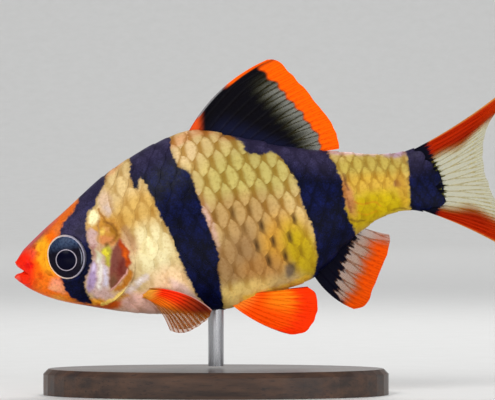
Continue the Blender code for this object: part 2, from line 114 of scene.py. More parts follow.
# Skin mesh, with stations of its rings, and the CAD nodes that the skin replaces
SKIN_NODES = ("head", "trunk", "tail_root", "gill_cover_left", "gill_cover_right")
AROUND = 300
SNOUT_RINGS = 95
HEAD_STEP = 0.1
TRUNK_STEP = 0.24
SNOUT_STATIONS = (1.05, 1.7, 2.4, 3.2, 4.1, 5.0, 5.9)
LIP_RINGS = ((0.235, 0.05), (0.62, -0.06))
WRAP_LENGTH = 4.77
HEAD_START, HEAD_END, BODY_END = 5.0, 14.4, 50.42
TAIL_PULL_S = 43.5
SLIT_S = 13.9
SLIT_REAR = 23.0
SLIT_LEAST = 9.9
SCALE_BED = 0.2

# Eyes: centre, radii along and up, and how far each looks forwards
EYE_CENTRE = (6.28, 2.05, 0.25)
EYE_RADII = (2.31, 2.62)
EYE_TURN = math.radians(12)
PUPIL = (0.08, -0.33)
PUPIL_RADIUS = 1.15
EYE_AROUND = 120

# Ridges and grooves of the gill cover: line, rise, half width
RIDGES = (
    (trace((100, 250), (103, 262), (103, 275), (101, 290)), 0.08, 0.3),
    (trace((111, 291), (118, 286), (125, 278), (130, 269)), -0.07, 0.15),
    (trace((113, 249), (111, 258), (111, 270), (110, 288)), -0.06, 0.15),
    (trace((108, 303), (121, 295), (135, 285), (143, 279)), 0.09, 0.24),
    (trace((121, 240), (127, 247), (131, 258), (131, 268)), 0.06, 0.25),
)
# Nostrils: place (s, h) and radius
NOSTRILS = ((2.3, 1.72, 0.16), (2.72, 2.0, 0.2))
# Straight stretches that stand for one short line
SHORT_LINE = 12


def spline(points):
    """A natural cubic spline through (position, value) pairs; a value may be a number or an array."""
    x = np.array([position for position, _ in points], float)
    y = np.array([value for _, value in points], float)
    step = np.diff(x)
    count = len(x)
    system, right = np.eye(count), np.zeros(y.shape)
    for i in range(1, count - 1):
        system[i, i - 1 : i + 2] = step[i - 1], 2 * (step[i - 1] + step[i]), step[i]
        right[i] = 6 * ((y[i + 1] - y[i]) / step[i] - (y[i] - y[i - 1]) / step[i - 1])
    bend = np.linalg.solve(system, right.reshape(count, -1)).reshape(y.shape)

    def value(at):
        at = np.clip(np.asarray(at, float), x[0], x[-1])
        i = np.clip(np.searchsorted(x, at) - 1, 0, count - 2)
        wide = (...,) + (None,) * (y.ndim - 1)
        before, after, gap = (at - x[i])[wide], (x[i + 1] - at)[wide], step[i][wide]
        cubic = (bend[i + 1] * before**3 + bend[i] * after**3) / (6 * gap)
        left = (y[i] / gap - bend[i] * gap / 6) * after
        return cubic + left + (y[i + 1] / gap - bend[i + 1] * gap / 6) * before

    return value


def body_line(points):
    """A line along the body that starts square to it at the nose, as on any rounded tip."""
    by_root = spline([(math.sqrt(s - NOSE_S), value) for s, value in points])
    return lambda s: by_root(np.sqrt(np.maximum(np.asarray(s, float) - NOSE_S, 0)))


def curve(points):
    """A smooth curve through points, run from 0 to 1 along its length."""
    points = np.array(points, float)
    length = np.concatenate([[0], np.cumsum(np.linalg.norm(np.diff(points, axis=0), axis=1))])
    return spline(list(zip(length / length[-1], points)))


back, belly, half_width = body_line(BACK_LINE), body_line(BELLY_LINE), body_line(HALF_WIDTH)
gill_seam, fin_seam = spline(GILL_SEAM), spline(FIN_SEAM)


def smooth(low, high, value):
    """0 below low, 1 above high and an eased ramp between, or the reverse if low is above high."""
    t = np.clip((value - low) / (high - low), 0, 1)
    return t * t * (3 - 2 * t)


def skin(s, angle):
    """The skin's point at station s. Angle 0 is the back, a quarter turn the left flank, a half the belly."""
    s, angle = np.broadcast_arrays(np.asarray(s, float), np.asarray(angle, float))
    top, bottom, width = back(s), belly(s), half_width(s)
    side, up = np.sin(angle), np.cos(angle)
    power = np.where(up > 0, BACK_SHARPNESS, BELLY_SHARPNESS)
    y = -width * np.sign(side) * np.abs(side) ** power
    return np.stack([s, y, (top + bottom) / 2 + (top - bottom) / 2 * up], axis=-1)


def outward(s, angle):
    """The direction straight out of the skin."""
    small = 1e-3
    along = skin(s + small, angle) - skin(s - small, angle)
    around = skin(s, angle + small) - skin(s, angle - small)
    across = np.cross(around, along)
    return across / np.linalg.norm(across, axis=-1, keepdims=True)


def angle_at(s, h):
    """The angle at which the left flank passes height h at station s."""
    middle, half = (back(s) + belly(s)) / 2, (back(s) - belly(s)) / 2
    return np.arccos(np.clip((h - middle) / half, -1, 1))


def to_world(points):
    """Points of the fish's frame, in millimetres, as points of the model, in metres."""
    cos, sin = math.cos(FISH_TILT), math.sin(FISH_TILT)
    low = float(belly(ROD_S))
    s, y, h = points[..., 0], points[..., 1], points[..., 2]
    x = cos * (s - ROD_S) - sin * (h - low)
    z = sin * (s - ROD_S) + cos * (h - low) + BELLY_HEIGHT
    return np.stack([x, y, z], axis=-1) * MM


def linear(red, green, blue):
    """A screen colour, 0 to 255 each, as linear light."""
    share = np.array([red, green, blue], float) / 255
    return np.where(share <= 0.04045, share / 12.92, ((share + 0.055) / 1.055) ** 2.4)


# Markings

EYE_BAR = trace(
    (70, 190), (79, 200), (75, 210), (70, 216), (64, 223), (61.5, 230), (60, 237), (58, 250), (59, 268),
    (63, 281), (66, 290), (70, 296), (76, 300.5), (83, 303), (92, 304), (91, 299), (87, 292), (85, 286),
    (87, 277), (91, 268), (94, 258), (92, 250), (88, 240), (86.5, 225), (89, 212), (95, 207), (98, 196),
    (104, 186), (108, 172), (99, 162),
)
SHOULDER_BAR = trace(
    (124, 147), (130, 157), (131, 165), (129, 172), (132, 180), (134.5, 188), (138, 190), (139, 183),
    (141, 178), (145, 181), (150, 192), (156, 205), (162, 218), (170, 230), (175, 245), (180, 258),
    (186, 272), (193, 285), (198, 296), (205, 306), (213, 311), (216, 322), (226, 322), (224, 305),
    (221, 290), (220, 275), (219, 260), (216, 245), (210, 230), (204, 215), (199, 200), (195, 187),
    (193, 180), (190, 172), (184, 169), (178, 166), (174, 158), (171, 150), (170, 140), (166, 128),
)
DORSAL_BAR = trace(
    (214, 112), (222, 128), (232, 137), (243, 144), (246, 154), (262, 156), (270, 152), (280, 157),
    (286, 165), (293, 176), (297, 186), (303, 205), (311, 225), (316, 245), (317, 260), (313, 275),
    (309, 288), (312, 320), (343, 306), (338, 298), (337, 286), (341, 272), (346, 259), (351, 247),
    (358, 236), (355, 234), (350, 222), (345, 210), (343, 195), (341, 181), (337, 172), (334, 164),
    (329, 156), (325, 140), (270, 60), (230, 80),
)
TAIL_BAR = trace(
    (404, 140), (406, 153), (407.5, 166), (409, 180), (408.5, 191), (410, 200), (409.5, 207), (412, 216),
    (414, 228), (434, 224), (435, 216), (440, 207), (443, 196), (441, 183), (437, 173), (431, 160),
    (427, 146), (424, 132),
)
BARS = (EYE_BAR, SHOULDER_BAR, DORSAL_BAR, TAIL_BAR)
TAIL_BAR_REAR = 48.3

# Patches of colour on the body: place (s, h), radii, turn in degrees, colour, strength
FLANK_GOLD = (206, 176, 116)
PATCHES = (
    (spot(250, 175), (7.0, 4.2), 0, (184, 168, 92), 0.9),
    (spot(240, 213), (6.0, 2.6), 0, (180, 142, 86), 0.85),
    (spot(248, 258), (5.6, 4.0), 0, (156, 116, 70), 0.88),
    (spot(240, 296), (4.5, 1.7), -10, (240, 208, 120), 0.85),
    (spot(284, 240), (3.2, 3.4), 20, (206, 148, 38), 0.8),
    (spot(303, 253), (2.1, 4.2), -14, (188, 158, 8), 0.95),
    (spot(262, 268), (3.0, 1.6), 0, (196, 138, 66), 0.5),
    (spot(370, 168), (6.4, 1.8), 12, (182, 158, 70), 0.95),
    (spot(372, 186), (6.0, 1.6), 10, (204, 162, 56), 0.95),
    (spot(376, 206), (6.0, 1.9), 4, (192, 164, 0), 0.98),
    (spot(362, 216), (3.6, 2.0), -20, (188, 158, 2), 0.95),
    (spot(366, 152), (7.0, 0.42), 11, (206, 166, 170), 0.8),
    (spot(396, 154), (1.6, 0.5), 6, (166, 134, 170), 0.7),
    (spot(347, 197), (0.8, 2.6), -7, (184, 118, 72), 0.85),
    (spot(397, 184), (0.5, 0.5), 0, (150, 96, 70), 0.8),
    (spot(402, 190), (0.7, 2.6), 0, (190, 138, 40), 0.6),
    (spot(120, 190), (3.0, 3.4), 0, (220, 188, 130), 0.8),
    (spot(138, 212), (3.6, 2.4), -20, (208, 164, 80), 0.85),
    (spot(152, 250), (2.8, 3.4), -10, (242, 228, 174), 0.9),
    (spot(170, 285), (2.8, 2.4), 0, (250, 212, 164), 0.9),
    (spot(128, 246), (1.5, 1.6), 20, (214, 164, 118), 0.7),
    (spot(184, 291), (2.4, 0.7), 50, (232, 196, 190), 0.7),
    (spot(184, 152), (1.9, 1.5), 0, (222, 192, 142), 0.7),
    (spot(208, 222), (0.7, 3.6), -7, (206, 166, 152), 0.8),
    (spot(180, 140), (3.0, 0.7), -13, (222, 150, 104), 0.55),
    (spot(206, 130), (1.4, 0.8), 8, (214, 138, 84), 0.75),
    (spot(228, 136), (1.5, 0.7), 10, (186, 122, 66), 0.7),
    (spot(112, 168), (2.0, 0.7), -30, (232, 160, 110), 0.6),
    (spot(106, 203), (0.9, 1.6), 0, (214, 182, 160), 0.7),
    (spot(144, 304), (4.6, 1.5), 14, (252, 198, 180), 0.92),
    (spot(128, 299), (1.3, 0.9), 0, (208, 160, 150), 0.6),
    (spot(150, 318), (9.0, 1.0), 14, (250, 208, 190), 0.6),
    (spot(108, 258), (3.2, 5.0), 0, (196, 158, 124), 0.85),
    (spot(99, 277), (1.5, 2.5), 8, (208, 186, 188), 0.8),
    (spot(108, 226), (3.0, 1.4), 0, (200, 150, 66), 0.85),
    (spot(100, 304), (2.6, 0.6), 17, (232, 150, 40), 0.9),
)
SNOUT_OUTLINE = trace(
    (84, 196), (70, 205), (56, 217), (40, 231), (20, 248), (8, 262), (10, 284), (30, 298), (60, 308),
    (92, 312), (92, 302), (76, 299), (64, 282), (60, 262), (60, 240), (66, 224), (78, 208),
)
SNOUT = (SNOUT_OUTLINE, (248, 112, 8), 0.4)
SNOUT_PATCHES = (
    (spot(40, 262), (4.6, 5.6), 0, (250, 108, 4), 1.0),
    (spot(46, 255), (1.05, 3.0), -8, (252, 178, 34), 0.95),
    (spot(43, 229), (4.0, 0.8), -34, (150, 66, 72), 0.85),
    (spot(30, 243), (1.9, 0.5), -34, (196, 92, 96), 0.6),
    (spot(64, 216), (2.8, 0.6), -33, (232, 108, 30), 0.95),
    (spot(30, 254), (1.0, 0.9), 0, (224, 72, 60), 0.7),
    (spot(24, 266), (1.45, 2.0), 0, (252, 36, 12), 1.0),
    (spot(27, 281), (1.8, 1.1), 30, (248, 44, 12), 1.0),
    (spot(45, 283), (1.6, 1.3), 0, (250, 122, 26), 0.8),
    (spot(58, 285), (0.95, 0.9), 0, (248, 158, 120), 0.9),
    (spot(62, 298), (2.2, 0.6), 24, (244, 134, 30), 0.85),
    (spot(60, 231), (0.7, 0.8), 0, (224, 124, 60), 0.6),
    (spot(52, 222), (1.6, 0.4), -33, (216, 100, 84), 0.6),
    (spot(38.5, 254), (0.35, 0.25), 0, (220, 90, 4), 0.8),
    (spot(35, 246.5), (0.35, 0.22), -20, (176, 62, 30), 0.8),
    (spot(50, 273), (0.6, 0.28), 40, (196, 92, 10), 0.8),
    (spot(41, 276), (0.35, 0.55), 0, (226, 74, 2), 0.8),
    (spot(36, 283), (0.4, 0.35), 0, (216, 70, 4), 0.8),
    (spot(29.5, 265.5), (0.6, 0.5), 0, (228, 12, 8), 0.8),
    (spot(55, 288), (0.7, 0.4), 10, (255, 170, 118), 0.85),
    (spot(64, 290), (0.5, 0.6), 0, (248, 158, 106), 0.85),
    (spot(50, 294), (1.1, 0.5), 30, (252, 108, 8), 0.8),
    (spot(58, 298), (0.9, 0.36), 26, (252, 160, 52), 0.8),
    # Painted highlights: pale pink spots on the tips of the upper and lower lip
    (spot(17.5, 268.5), (0.3, 0.4), 0, (255, 130, 120), 0.35),
    (spot(18, 279), (0.3, 0.35), 0, (255, 130, 120), 0.35),
)
# Parts of the head with a clearer edge: outline, colour, softness of the edge
PLATES = (
    (trace((41, 247), (46, 243), (49, 247), (47.5, 256), (48, 264), (50, 271), (45, 268), (41, 260)),
      (255, 160, 22), 0.35),
    (trace((99, 211), (104, 217), (110, 219), (117, 222), (121, 229), (122, 238), (119, 243), (112, 246),
      (104, 245), (100, 238), (97, 229)), (196, 136, 48), 0.3),
    (trace((105, 207), (109, 205), (111.5, 210), (110.5, 215), (107, 215)), (208, 184, 170), 0.22),
    (trace((107, 224), (113, 225), (119, 229), (121, 237), (118, 242), (113, 235), (108, 229)),
      (158, 104, 26), 0.22),
    # Painted highlight: a small pale yellow spot on the gill cover
    (trace((101, 230), (105, 229), (105, 234), (101, 235)), (236, 200, 96), 0.16),
    (trace((106, 228), (110, 228), (110, 232), (106, 232)), (226, 168, 96), 0.16),
    (trace((91, 212), (95, 210.5), (99, 213), (101, 218), (98, 222), (93, 226), (90, 223), (90, 217)),
      (246, 236, 182), 0.14),
    (trace((87, 231), (93, 229), (98, 233), (98, 245), (96, 251), (92, 249), (88, 241)), (200, 166, 160),
      0.16),
    (trace((91, 246), (96, 245), (97, 254), (94, 257), (93, 251)), (166, 116, 106), 0.16),
    (trace((101, 237), (106, 235), (111, 237), (115, 237), (117, 242), (111, 244), (107, 247),
      (102, 243)), (208, 132, 76), 0.16),
    (trace((105, 244), (109, 243), (111, 246), (108, 248.5), (105, 247)), (110, 76, 30), 0.12),
    (trace((103, 249), (108, 248), (112, 246), (113, 251), (111.5, 258), (111.5, 266), (109, 267),
      (106, 259)), (182, 172, 46), 0.12),
    (trace((104, 250), (108, 249), (109, 254), (107, 257), (104.5, 254)), (228, 214, 56), 0.1),
    (trace((113, 250), (118, 243), (121, 239), (125, 244), (129, 252), (131, 262), (129, 270), (124, 279),
      (118, 286), (112, 290), (110, 282), (111, 268), (112.5, 258)), (126, 58, 46), 0.1),
    (trace((113, 251), (117, 248), (119, 256), (118, 270), (113, 273), (112, 264)), (124, 68, 58), 0.2),
    (trace((111, 274), (117, 275), (118, 281), (113, 287), (110.5, 283)), (118, 78, 54), 0.18),
    (trace((119, 262), (124, 258), (127, 264), (124, 274), (119, 276)), (112, 40, 32), 0.2),
    (trace((121, 240), (125.5, 243), (130, 251), (132, 261), (129, 268), (126, 262), (123, 252),
      (120, 246)), (180, 64, 4), 0.1),
    (trace((125, 250), (128, 251), (129, 257), (127, 260), (125, 255)), (220, 96, 14), 0.12),
    (trace((130, 268), (133.5, 271), (133.5, 278), (129, 284), (122, 289), (117, 292), (115, 290),
      (121, 285), (126, 278)), (182, 108, 14), 0.12),
    (trace((92, 262), (96, 261), (97.5, 272), (97, 282), (95, 290), (90, 293), (86.5, 288), (89, 279),
      (91, 270)), (170, 144, 186), 0.14),
    (trace((93, 263), (95.5, 263), (96, 270), (93, 271)), (224, 208, 234), 0.12),
    (trace((97, 250), (101, 252), (103, 258), (101, 264), (98, 262)), (204, 202, 164), 0.16),
    (trace((99, 258), (102, 260), (104, 271), (102, 282), (102, 292), (98, 292), (99, 280), (100, 270)),
      (232, 226, 216), 0.12),
    (trace((105, 264), (108, 270), (109, 280), (108, 288), (104.5, 286), (105.5, 277), (104.5, 270)),
      (214, 206, 224), 0.12),
    (trace((92, 290), (104, 288), (111, 290), (114, 296), (105, 300), (95, 299)), (208, 172, 164), 0.25),
    (trace((93, 299), (101, 298), (106, 301), (100, 306), (93, 303)), (246, 168, 48), 0.16),
    (trace((111, 302), (118, 298), (125, 294), (130, 289), (129, 295), (122, 300), (115, 304)),
      (214, 142, 16), 0.12),
    (trace((97, 304), (111, 301), (122, 301), (119, 307), (108, 312), (97, 310)), (216, 84, 4), 0.16),
)
# Narrow marks: the line, half its width, colour, strength
STREAKS = (
    (trace((19, 255), (28, 245), (38, 236), (46, 228)), 0.16, (208, 100, 108), 0.5),
    # Painted shadow: a dark brown line along the top of the gill cover's arch
    (trace((99, 209), (103, 216), (108, 222), (114, 227), (118, 231)), 0.1, (150, 96, 34), 0.8),
    # Painted shadow: a brownish band slanting down behind the gill cover
    (trace((126, 229), (131, 238), (135, 248)), 0.4, (172, 128, 90), 0.55),
    # Painted shadow: a dark brown line inside the gill cover's arch
    (trace((105, 222), (112, 224), (117, 230), (117, 237), (112, 242)), 0.14, (128, 82, 26), 0.6),
    (trace((99, 222), (100, 232), (99, 242)), 0.09, (168, 124, 78), 0.7),
    (trace((112, 289.5), (118, 284.5), (124, 277.5), (128.5, 270)), 0.07, (230, 166, 154), 0.95),
    (trace((102, 304), (110, 301), (121, 293.5), (128, 288), (135, 283.5), (141, 280)), 0.17,
      (246, 212, 104), 0.82),
    (trace((129, 290), (136, 285), (142, 280), (147, 277)), 0.4, (226, 214, 226), 0.55),
    (trace((137, 283), (142, 279)), 0.14, (252, 248, 250), 0.6),
    (trace((343, 175), (345, 183), (347, 190)), 0.11, (92, 54, 46), 0.65),
    (trace((346, 199), (349, 206), (350, 213)), 0.1, (120, 62, 34), 0.7),
    (trace((350, 219.5), (356, 221.5), (364, 221)), 0.1, (96, 62, 22), 0.6),
    (trace((391, 210.5), (398, 209), (406, 209)), 0.09, (104, 72, 16), 0.55),
    (trace((354, 202), (362, 205), (371, 202), (380, 206)), 0.07, (196, 112, 20), 0.6),
    (trace((358, 213), (367, 215), (376, 211)), 0.07, (206, 130, 20), 0.5),
    (trace((82, 305), (92, 306), (102, 308)), 0.12, (196, 88, 12), 0.9),
    (trace((246, 299), (264, 294), (288, 287), (306, 279)), 0.42, (240, 196, 52), 0.75),
)
# Dark marks at the front of some scales on the left and right flank; the last one is a painted shadow line
DARK_SPOTS = trace(
    (251, 226), (253, 235), (266, 226), (268, 233), (283, 218), (239, 214), (262, 244), (278, 243),
    (293, 233), (274, 262), (298, 215), (289, 256),
)
FAINT_SPOTS = trace(
    (236, 228), (235, 237), (249, 252), (233, 252), (244, 188), (254, 208), (222, 215), (261, 262),
    (304, 252),
)
BELLY_STAIN = (spot(290, 270), (0.7, 1.0), 20, (70, 60, 62), 0.8)


def segment_distance(s, h, start, end):
    """Millimetres from a straight stretch in side view."""
    (s0, h0), (s1, h1) = start, end
    ds, dh = s1 - s0, h1 - h0
    t = np.clip(((s - s0) * ds + (h - h0) * dh) / (ds * ds + dh * dh), 0, 1)
    return np.hypot(s - s0 - t * ds, h - h0 - t * dh)


def signed_distance(s, h, outline):
    """Millimetres inside a closed outline in side view, negative outside."""
    nearest, inside = np.full(s.shape, 1e9), np.zeros(s.shape, bool)
    for start, end in zip(outline, outline[1:] + outline[:1]):
        nearest = np.minimum(nearest, segment_distance(s, h, start, end))
        (s0, h0), (s1, h1) = start, end
        if h1 != h0:
            inside ^= ((h0 > h) != (h1 > h)) & (s < s0 + (h - h0) * (s1 - s0) / (h1 - h0))
    return np.where(inside, nearest, -nearest)


def line_distance(s, h, points, count=40):
    """Millimetres from a smooth line in side view."""
    line = curve(points)(np.linspace(0, 1, count))
    nearest = np.full(s.shape, 1e9)
    for start, end in zip(line, line[1:]):
        nearest = np.minimum(nearest, segment_distance(s, h, start, end))
    return nearest


def bar_depth(s, h):
    """Millimetres inside the nearest black bar, negative outside."""
    return np.max([signed_distance(s, h, bar) for bar in BARS], axis=0)


def blend(colour, shade, share):
    """Colours with a share of one screen colour mixed in."""
    return colour + (linear(*shade) - colour) * share[..., None]


def blot(colour, s, h, patch):
    """Colours with one soft oval patch over them."""
    (s0, h0), (long, tall), turn, shade, strength = patch
    cos, sin = math.cos(math.radians(turn)), math.sin(math.radians(turn))
    a = (s - s0) * cos - (h - h0) * sin
    b = (s - s0) * sin + (h - h0) * cos
    return blend(colour, shade, strength * smooth(1.3, 0.45, np.hypot(a / long, b / tall)))


def plate(colour, s, h, part):
    """Colours with one outlined patch over them."""
    outline, shade, soft = part
    soft = 1.5 * soft + 0.04
    return blend(colour, shade, 0.94 * smooth(-soft, soft, signed_distance(s, h, outline)))


def wander(s, h):
    """Places shifted a little, this way and that, so that no edge of a marking runs ruled."""
    along = 0.05 * np.sin(4.3 * h + 2.0 * np.sin(1.9 * s))
    along = along + 0.03 * np.sin(9.7 * h + 3.0 * np.sin(3.1 * s) + 1)
    up = 0.05 * np.sin(3.7 * s + 2.0 * np.sin(2.3 * h))
    up = up + 0.03 * np.sin(8.9 * s + 3.0 * np.sin(4.1 * h) + 2)
    return s + along, h + up


def crumple(s, h):
    """Places shifted more on the gill cover, whose patches of colour are the least even."""
    reach = 0.065 * smooth(8.6, 9.8, s) * smooth(14.4, 13.2, s) * smooth(-6.5, -5.0, h)
    along = reach * np.sin(5.1 * h + 1.3 * np.sin(4.3 * s) + 0.6)
    up = reach * np.sin(4.7 * s + 1.3 * np.sin(4.9 * h) + 2.4)
    return s + along, h + up


def body_colour(s, h):
    """The colour of skin and scales between the bars."""
    colour = np.ones(s.shape + (3,)) * linear(*FLANK_GOLD)
    s, h = wander(s, h)
    for patch in (*PATCHES, BELLY_STAIN):
        colour = blot(colour, s, h, patch)
    colour = plate(colour, s, h, SNOUT)
    for patch in SNOUT_PATCHES:
        colour = blot(colour, s, h, patch)
    crumpled = crumple(s, h)
    for part in PLATES:
        colour = plate(colour, *crumpled, part)
    for points, half, shade, strength in STREAKS:
        away = line_distance(s, h, points, SHORT_LINE)
        colour = blend(colour, shade, strength * smooth(half * 1.3 + 0.05, half * 0.6, away))
    return colour


def marked(points):
    """Markings for points of the fish's frame: colour, depth in a bar, and how near the back, which sets the
    painted sheen on the bars.
    """
    s, h = points[..., 0], points[..., 2]
    # Share of the painted greyer sheen on the bars: over the crown and along the back
    crown_sheen = 0.95 * smooth(11.5, 8.5, s) * smooth(0.5, 2.6, h)
    back_sheen = np.maximum(smooth(4.2, 0.6, back(s) - h), crown_sheen)
    calm = 0.6 * smooth(1.0, -2.5, h - 0.06 * (s - 20)) + 0.6 * smooth(2.8, 1.2, h - belly(s))
    calm += 0.62 * smooth(20.0, 16.0, s) + 0.3 * smooth(22.0, 18.0, s) * smooth(1.5, -1.5, h)
    calm += smooth(34, 38, s) * (0.45 + 0.3 * smooth(1.5, -0.5, h))
    bar = np.maximum(bar_depth(s, h), s - TAIL_BAR_REAR)
    return {"tint": body_colour(s, h), "bar": bar, "dorsal": back_sheen, "calm": np.clip(calm, 0, 0.95)}


# Meshes


def keep_value(mesh, label, value):
    """Stores a colour or a number at each point of a mesh, under the name by which the materials read it."""
    if label == "tint":
        kind, field = "FLOAT_COLOR", "color"
        value = np.concatenate([value.reshape(-1, 3), np.ones((value.size // 3, 1))], axis=1)
    else:
        kind, field = "FLOAT", "value"
    layer = mesh.attributes.new(label, kind, "POINT")
    layer.data.foreach_set(field, np.asarray(value, np.float32).ravel())


def mesh_object(name, points, quads, values, extra=(), smooth_angle=40):
    """A mesh from points in metres, with values at its points for the materials."""
    mesh = bpy.data.meshes.new(name)
    faces = np.asarray(quads).tolist() + [list(face) for face in extra]
    mesh.from_pydata(points.reshape(-1, 3).tolist(), [], faces)
    for label, value in values.items():
        keep_value(mesh, label, value)
    mesh.shade_smooth()
    if smooth_angle:
        mesh.set_sharp_from_angle(angle=math.radians(smooth_angle))
    obj = bpy.data.objects.new(name, mesh)
    bpy.context.scene.collection.objects.link(obj)
    return obj


def ring_quads(count, around):
    """Quads of a tube made of rings that are closed round."""
    i, j = np.meshgrid(np.arange(count - 1), np.arange(around), indexing="ij")
    near, far, after = i * around, (i + 1) * around, (j + 1) % around
    return np.stack([near + j, far + j, far + after, near + after], axis=-1).reshape(-1, 4)


def dress(obj, paint, nodes=()):
    """Gives a piece its material, its body and the CAD nodes that it replaces."""
    obj.data.materials.append(paint)
    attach(obj, "root")
    if nodes:
        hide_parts(*nodes)
    return obj


def grid_normals(points, wrap=False):
    """Unit normals of a grid of points, from its columns (first axis) and rows (second axis)."""
    if wrap:
        across = np.roll(points, -1, axis=1) - np.roll(points, 1, axis=1)
        along = np.gradient(points, axis=0)
        face = np.cross(across, along)
    else:
        face = np.cross(np.gradient(points, axis=0), np.gradient(points, axis=1))
    length = np.linalg.norm(face, axis=-1, keepdims=True)
    return face / np.maximum(length, 1e-9)


# Skin


def mouth_ring(angle, top, bottom, corner, half):
    """One ring of the lips, from its top and bottom on the middle plane out to the corners of the mouth."""
    side, up = np.sin(angle) ** 2, np.cos(angle)
    upper, lower = np.array(top), np.array(bottom)
    middle = np.where((up > 0)[:, None], upper, lower)
    along = middle + (np.array(corner) - middle) * side[:, None]
    return np.stack([along[:, 0], -half * np.sin(angle), along[:, 1]], axis=-1)


def snout_ring(angle, station, swell=0.0):
    """A ring of the skin that wraps back round the mouth's corners near the nose and is flat further on."""
    wrap = float(np.clip((HEAD_START - station) / WRAP_LENGTH, 0, 1))
    s = station + 1.65 * wrap**2 * np.sin(angle) ** 2 + 0.2 * wrap * np.cos(angle)
    turned = angle + math.radians(11) * wrap * np.sin(angle)
    fade = (0.35 + 0.65 * np.sin(angle) ** 2)[:, None]
    return skin(s, turned) + swell * fade * outward(s, turned)


def snout_rings(angle):
    """Rings from the apex of the gape, over the lips, to the front of the head, along one smooth run."""
    keys = [mouth_ring(angle, *ring) for ring in MOUTH_RINGS]
    outer = snout_ring(angle, *LIP_RINGS[0])
    keys += [(keys[-1] + outer) / 2 + np.array([-0.08, 0, 0]), outer, snout_ring(angle, *LIP_RINGS[1])]
    keys += [snout_ring(angle, station) for station in SNOUT_STATIONS]
    steps = [np.linalg.norm(b - a, axis=1).mean() for a, b in zip(keys, keys[1:])]
    length = np.concatenate([[0], np.cumsum(steps)])
    run = spline(list(zip(length, keys)))
    return run(np.linspace(0, length[-2], SNOUT_RINGS))


def body_rings(angle):
    """Rings of head and body, which bend to follow the gill slit and the root of the tail fin."""
    head = np.arange(HEAD_START + HEAD_STEP, HEAD_END, HEAD_STEP)
    trunk = np.linspace(HEAD_END, BODY_END, round((BODY_END - HEAD_END) / TRUNK_STEP) + 1)
    stations = np.concatenate([head, trunk])[:, None] * np.ones(AROUND)
    turned = np.ones(len(stations))[:, None] * angle
    flat = skin(stations, turned)
    pull = smooth(TAIL_PULL_S, BODY_END, stations)
    stations = stations + pull * (fin_seam(flat[..., 2]) - BODY_END)
    flat = skin(stations, turned)
    slit = smooth(HEAD_START, SLIT_S, stations) * smooth(SLIT_REAR, SLIT_S, stations)
    for _ in range(3):
        shift = slit * (np.maximum(gill_seam(flat[..., 2]), SLIT_LEAST) - SLIT_S)
        flat = skin(stations + shift, turned)
    thin = smooth(47.5, 50.4, stations + (BODY_END - fin_seam(flat[..., 2])) * pull)
    flat[..., 1] *= 1 - 0.55 * thin
    return flat


def base_rings():
    """The skin before its relief, from the apex of the gape to the root of the tail fin."""
    angle = np.arange(AROUND) * 2 * math.pi / AROUND
    return np.concatenate([snout_rings(angle), body_rings(angle)])


def relief(s, h):
    """How far the skin of the head stands out from its smooth form, in millimetres."""
    gill = s - gill_seam(h)
    cover = smooth(-6.6, -5.4, h) * smooth(3.4, 1.8, h)
    rise = np.where(gill < 0.02, 0.16 * np.exp(gill / 0.8), -0.22 * np.exp(-gill / 0.5)) * cover
    cheek = line_distance(s, h, CHEEK_EDGE)
    rise -= 0.09 * np.exp(-((cheek / 0.16) ** 2)) - 0.03 * np.exp(-(((cheek - 0.35) / 0.25) ** 2))
    for line, height, width in RIDGES:
        rise += height * np.exp(-((line_distance(s, h, line, SHORT_LINE) / width) ** 2))
    eye = np.hypot((s - EYE_CENTRE[0]) / EYE_RADII[0], (h - EYE_CENTRE[2]) / EYE_RADII[1])
    rise += 0.09 * np.exp(-(((eye - 1.08) / 0.06) ** 2)) - 1.1 * smooth(1.0, 0.9, eye)
    for s0, h0, radius in NOSTRILS:
        away = np.hypot(s - s0, h - h0) / radius
        rise += 0.05 * np.exp(-(((away - 1.25) / 0.35) ** 2)) - 0.14 * smooth(1.0, 0.2, away)
    bed = smooth(-0.2, 0.5, gill) * smooth(11.0, 12.6, s)
    return rise - SCALE_BED * bed


def skin_piece(paint):
    """One skin over head, gill covers, trunk and tail root, closed in the gullet and at the tail fin."""
    rings = base_rings()
    outside = smooth(14, 24, np.arange(len(rings)) * 1.0)[:, None]
    rise = relief(rings[..., 0], rings[..., 2]) * outside
    shaped = rings + grid_normals(rings, wrap=True) * rise[..., None]
    count, around = rings.shape[:2]
    quads = ring_quads(count, around)[:, [0, 3, 2, 1]]
    points = np.concatenate([shaped.reshape(-1, 3), [GULLET, shaped[-1].mean(axis=0)]])
    values = {}
    for label, value in marked(rings).items():
        flat = value.reshape(-1, *value.shape[2:])
        values[label] = np.concatenate([flat, flat[[0, -1]]])
    first, last = len(points) - 2, (count - 1) * around
    fan = [(first, (k + 1) % around, k) for k in range(around)]
    fan += [(first + 1, last + k, last + (k + 1) % around) for k in range(around)]
    obj = mesh_object("barb_skin", to_world(points), quads, values, fan, 0)
    return dress(obj, paint, SKIN_NODES)


# Scales

SCALE_SPACING = ((11.0, 1.85), (20.0, 1.95), (28.0, 1.97), (36.0, 1.75), (44.0, 1.45), (51.0, 1.2))
ROW_PITCH = ((11.0, 1.9), (20.0, 2.08), (28.0, 2.1), (36.0, 1.8), (44.0, 1.42), (51.0, 1.25))
LATERAL_ROW = ((11.0, 1.3), (20.0, 1.3), (30.0, 1.1), (40.0, 0.85), (51.0, 0.3))
SCALE_ROWS = 9
SCALE_THICKNESS = 0.04
SCALE_SLOPE = 0.068
SCALE_LIFT = -0.175
SCALE_GRID = (19, 15)
COAT_PIECES = 4
FIRST_SCALE_S = 9.4
LONGEST_SCALE = 1.97
SCATTER = 0.05
BODY_LENGTH = 52.0
BAKE_PATCH = 0.003
# Single rows on the midline: angle, first and last station
MIDLINE_ROWS = (
    (0.0, 12.6, 22.2), (0.0, 34.8, 48.6), (math.pi, 10.5, 22.5), (math.pi, 27.0, 33.0), (math.pi, 41.0, 48.0),
)

spacing, pitch, lateral = spline(SCALE_SPACING), spline(ROW_PITCH), spline(LATERAL_ROW)


